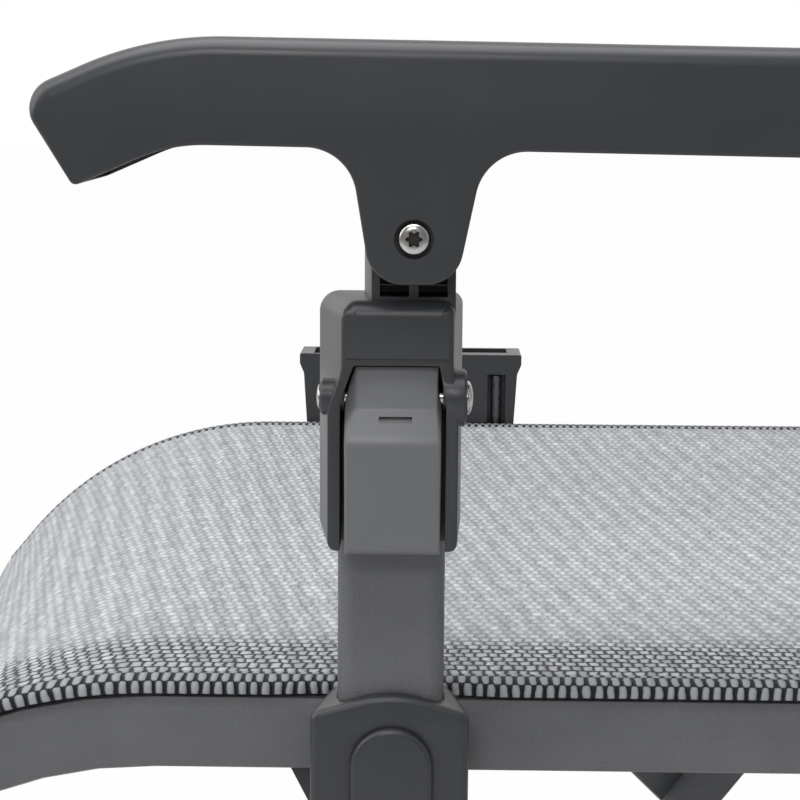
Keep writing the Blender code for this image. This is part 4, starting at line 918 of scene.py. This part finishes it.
def staged_floor():
    """Floor that is seen and reflected as white away from the chair, and keeps the chair's shadow near it."""
    mesh = bpy.data.meshes.new("floor")
    reach = 20.0
    corners = [(-reach, -reach, 0), (reach, -reach, 0), (reach, reach, 0), (-reach, reach, 0)]
    mesh.from_pydata(corners, [], [(0, 1, 2, 3)])
    floor = bpy.data.objects.new("floor", mesh)
    bpy.context.scene.collection.objects.link(floor)
    material, tree, shader = graph_of("pale_floor")
    shader.inputs["Base Color"].default_value = (0.86, 0.86, 0.86, 1)
    shader.inputs["Roughness"].default_value = 0.9
    glow = add(tree, "ShaderNodeEmission")
    path = add(tree, "ShaderNodeLightPath")
    place = add(tree, "ShaderNodeTexCoord").outputs["Object"]
    away = add(tree, "ShaderNodeVectorMath", operation="LENGTH")
    tree.links.new(place, away.inputs[0])
    white_share = eased_range(tree, away.outputs["Value"], SHADOW_ZONE, SEEN_WHITE)
    parts = add(tree, "ShaderNodeSeparateXYZ")
    tree.links.new(place, parts.inputs[0])
    beyond = eased_range(tree, parts.outputs[0], MIRROR_ZONE, MIRROR_WHITE)
    bounced = math_node(tree, "MAXIMUM", path.outputs["Is Glossy Ray"], path.outputs["Is Transmission Ray"])
    reflected = math_node(tree, "MULTIPLY", bounced, beyond)
    seen = math_node(tree, "MAXIMUM", path.outputs["Is Camera Ray"], reflected)
    seen = math_node(tree, "MULTIPLY", seen, white_share)
    blend(tree, seen, shader, glow, "Material Output")
    mesh.materials.append(material)


def studio_world():
    """Soft room light and a white background, which reflections see dimmer on the chair's left side."""
    world = bpy.data.worlds.new("studio")
    bpy.context.scene.world = world
    world.use_nodes = True
    tree = world.node_tree
    soft = tree.nodes["Background"]
    soft.inputs["Color"].default_value = (0.95, 0.97, 1.0, 1)
    soft.inputs["Strength"].default_value = 0.21
    white = add(tree, "ShaderNodeBackground")
    white.inputs["Color"].default_value = (1, 1, 1, 1)
    parts = add(tree, "ShaderNodeSeparateXYZ")
    tree.links.new(add(tree, "ShaderNodeTexCoord").outputs["Generated"], parts.inputs[0])
    room = eased_range(tree, parts.outputs[0], ROOM_ZONE, ROOM_WHITE)
    path = add(tree, "ShaderNodeLightPath")
    direct = math_node(tree, "MAXIMUM", path.outputs["Is Camera Ray"], path.outputs["Is Transmission Ray"])
    strength = math_node(tree, "MAXIMUM", room, direct)
    tree.links.new(strength, white.inputs["Strength"])
    seen = math_node(tree, "MAXIMUM", direct, path.outputs["Is Glossy Ray"])
    blend(tree, seen, soft, white, "World Output")


def soft_lamp(name, place, target, size, energy):
    """Rectangular lamp that faces its target."""
    lamp = bpy.data.lights.new(name, "AREA")
    lamp.shape = "RECTANGLE"
    lamp.size, lamp.size_y = size
    lamp.energy = energy
    obj = bpy.data.objects.new(name, lamp)
    obj.location = place
    obj.rotation_euler = (Vector(target) - Vector(place)).to_track_quat("-Z", "Y").to_euler()
    bpy.context.scene.collection.objects.link(obj)


def photo_camera():
    """Camera beside the near arm post, turned slightly to the front, looking down on the seat."""
    pitch, roll, yaw = math.radians(9.26), math.radians(0.4), math.radians(0.871)
    place = (0.9035, POST_Y + 0.01145, 0.654)
    right, up = Vector((0, 1, 0)), Vector((-math.sin(pitch), 0, math.cos(pitch)))
    turn = Matrix.Rotation(yaw, 3, "Z")
    rolled_right = turn @ (right * math.cos(roll) + up * math.sin(roll))
    rolled_up = turn @ (up * math.cos(roll) - right * math.sin(roll))
    axes = Matrix((rolled_right, rolled_up, rolled_right.cross(rolled_up))).transposed()
    lens = bpy.data.cameras.new("photo_view")
    lens.lens, lens.sensor_width = 86.94, 36.0
    camera = bpy.data.objects.new("photo_view", lens)
    camera.matrix_world = Matrix.Translation(place) @ axes.to_4x4()
    bpy.context.scene.collection.objects.link(camera)
    bpy.context.scene.camera = camera


staged_floor()
studio_world()
soft_lamp("left_lamp", (0.5, -2.4, 1.9), (0, 0, 0.5), (1.8, 1.8), 20)
soft_lamp("key_lamp", (2.02, -0.3, 1.58), (0.28, -0.05, 0.57), (0.6, 0.35), 8)
soft_lamp("top_lamp", (0.45, -0.3, 2.7), (0, 0, 0.5), (2.0, 2.0), 44)
photo_camera()
bpy.context.scene.view_settings.view_transform = "Standard"
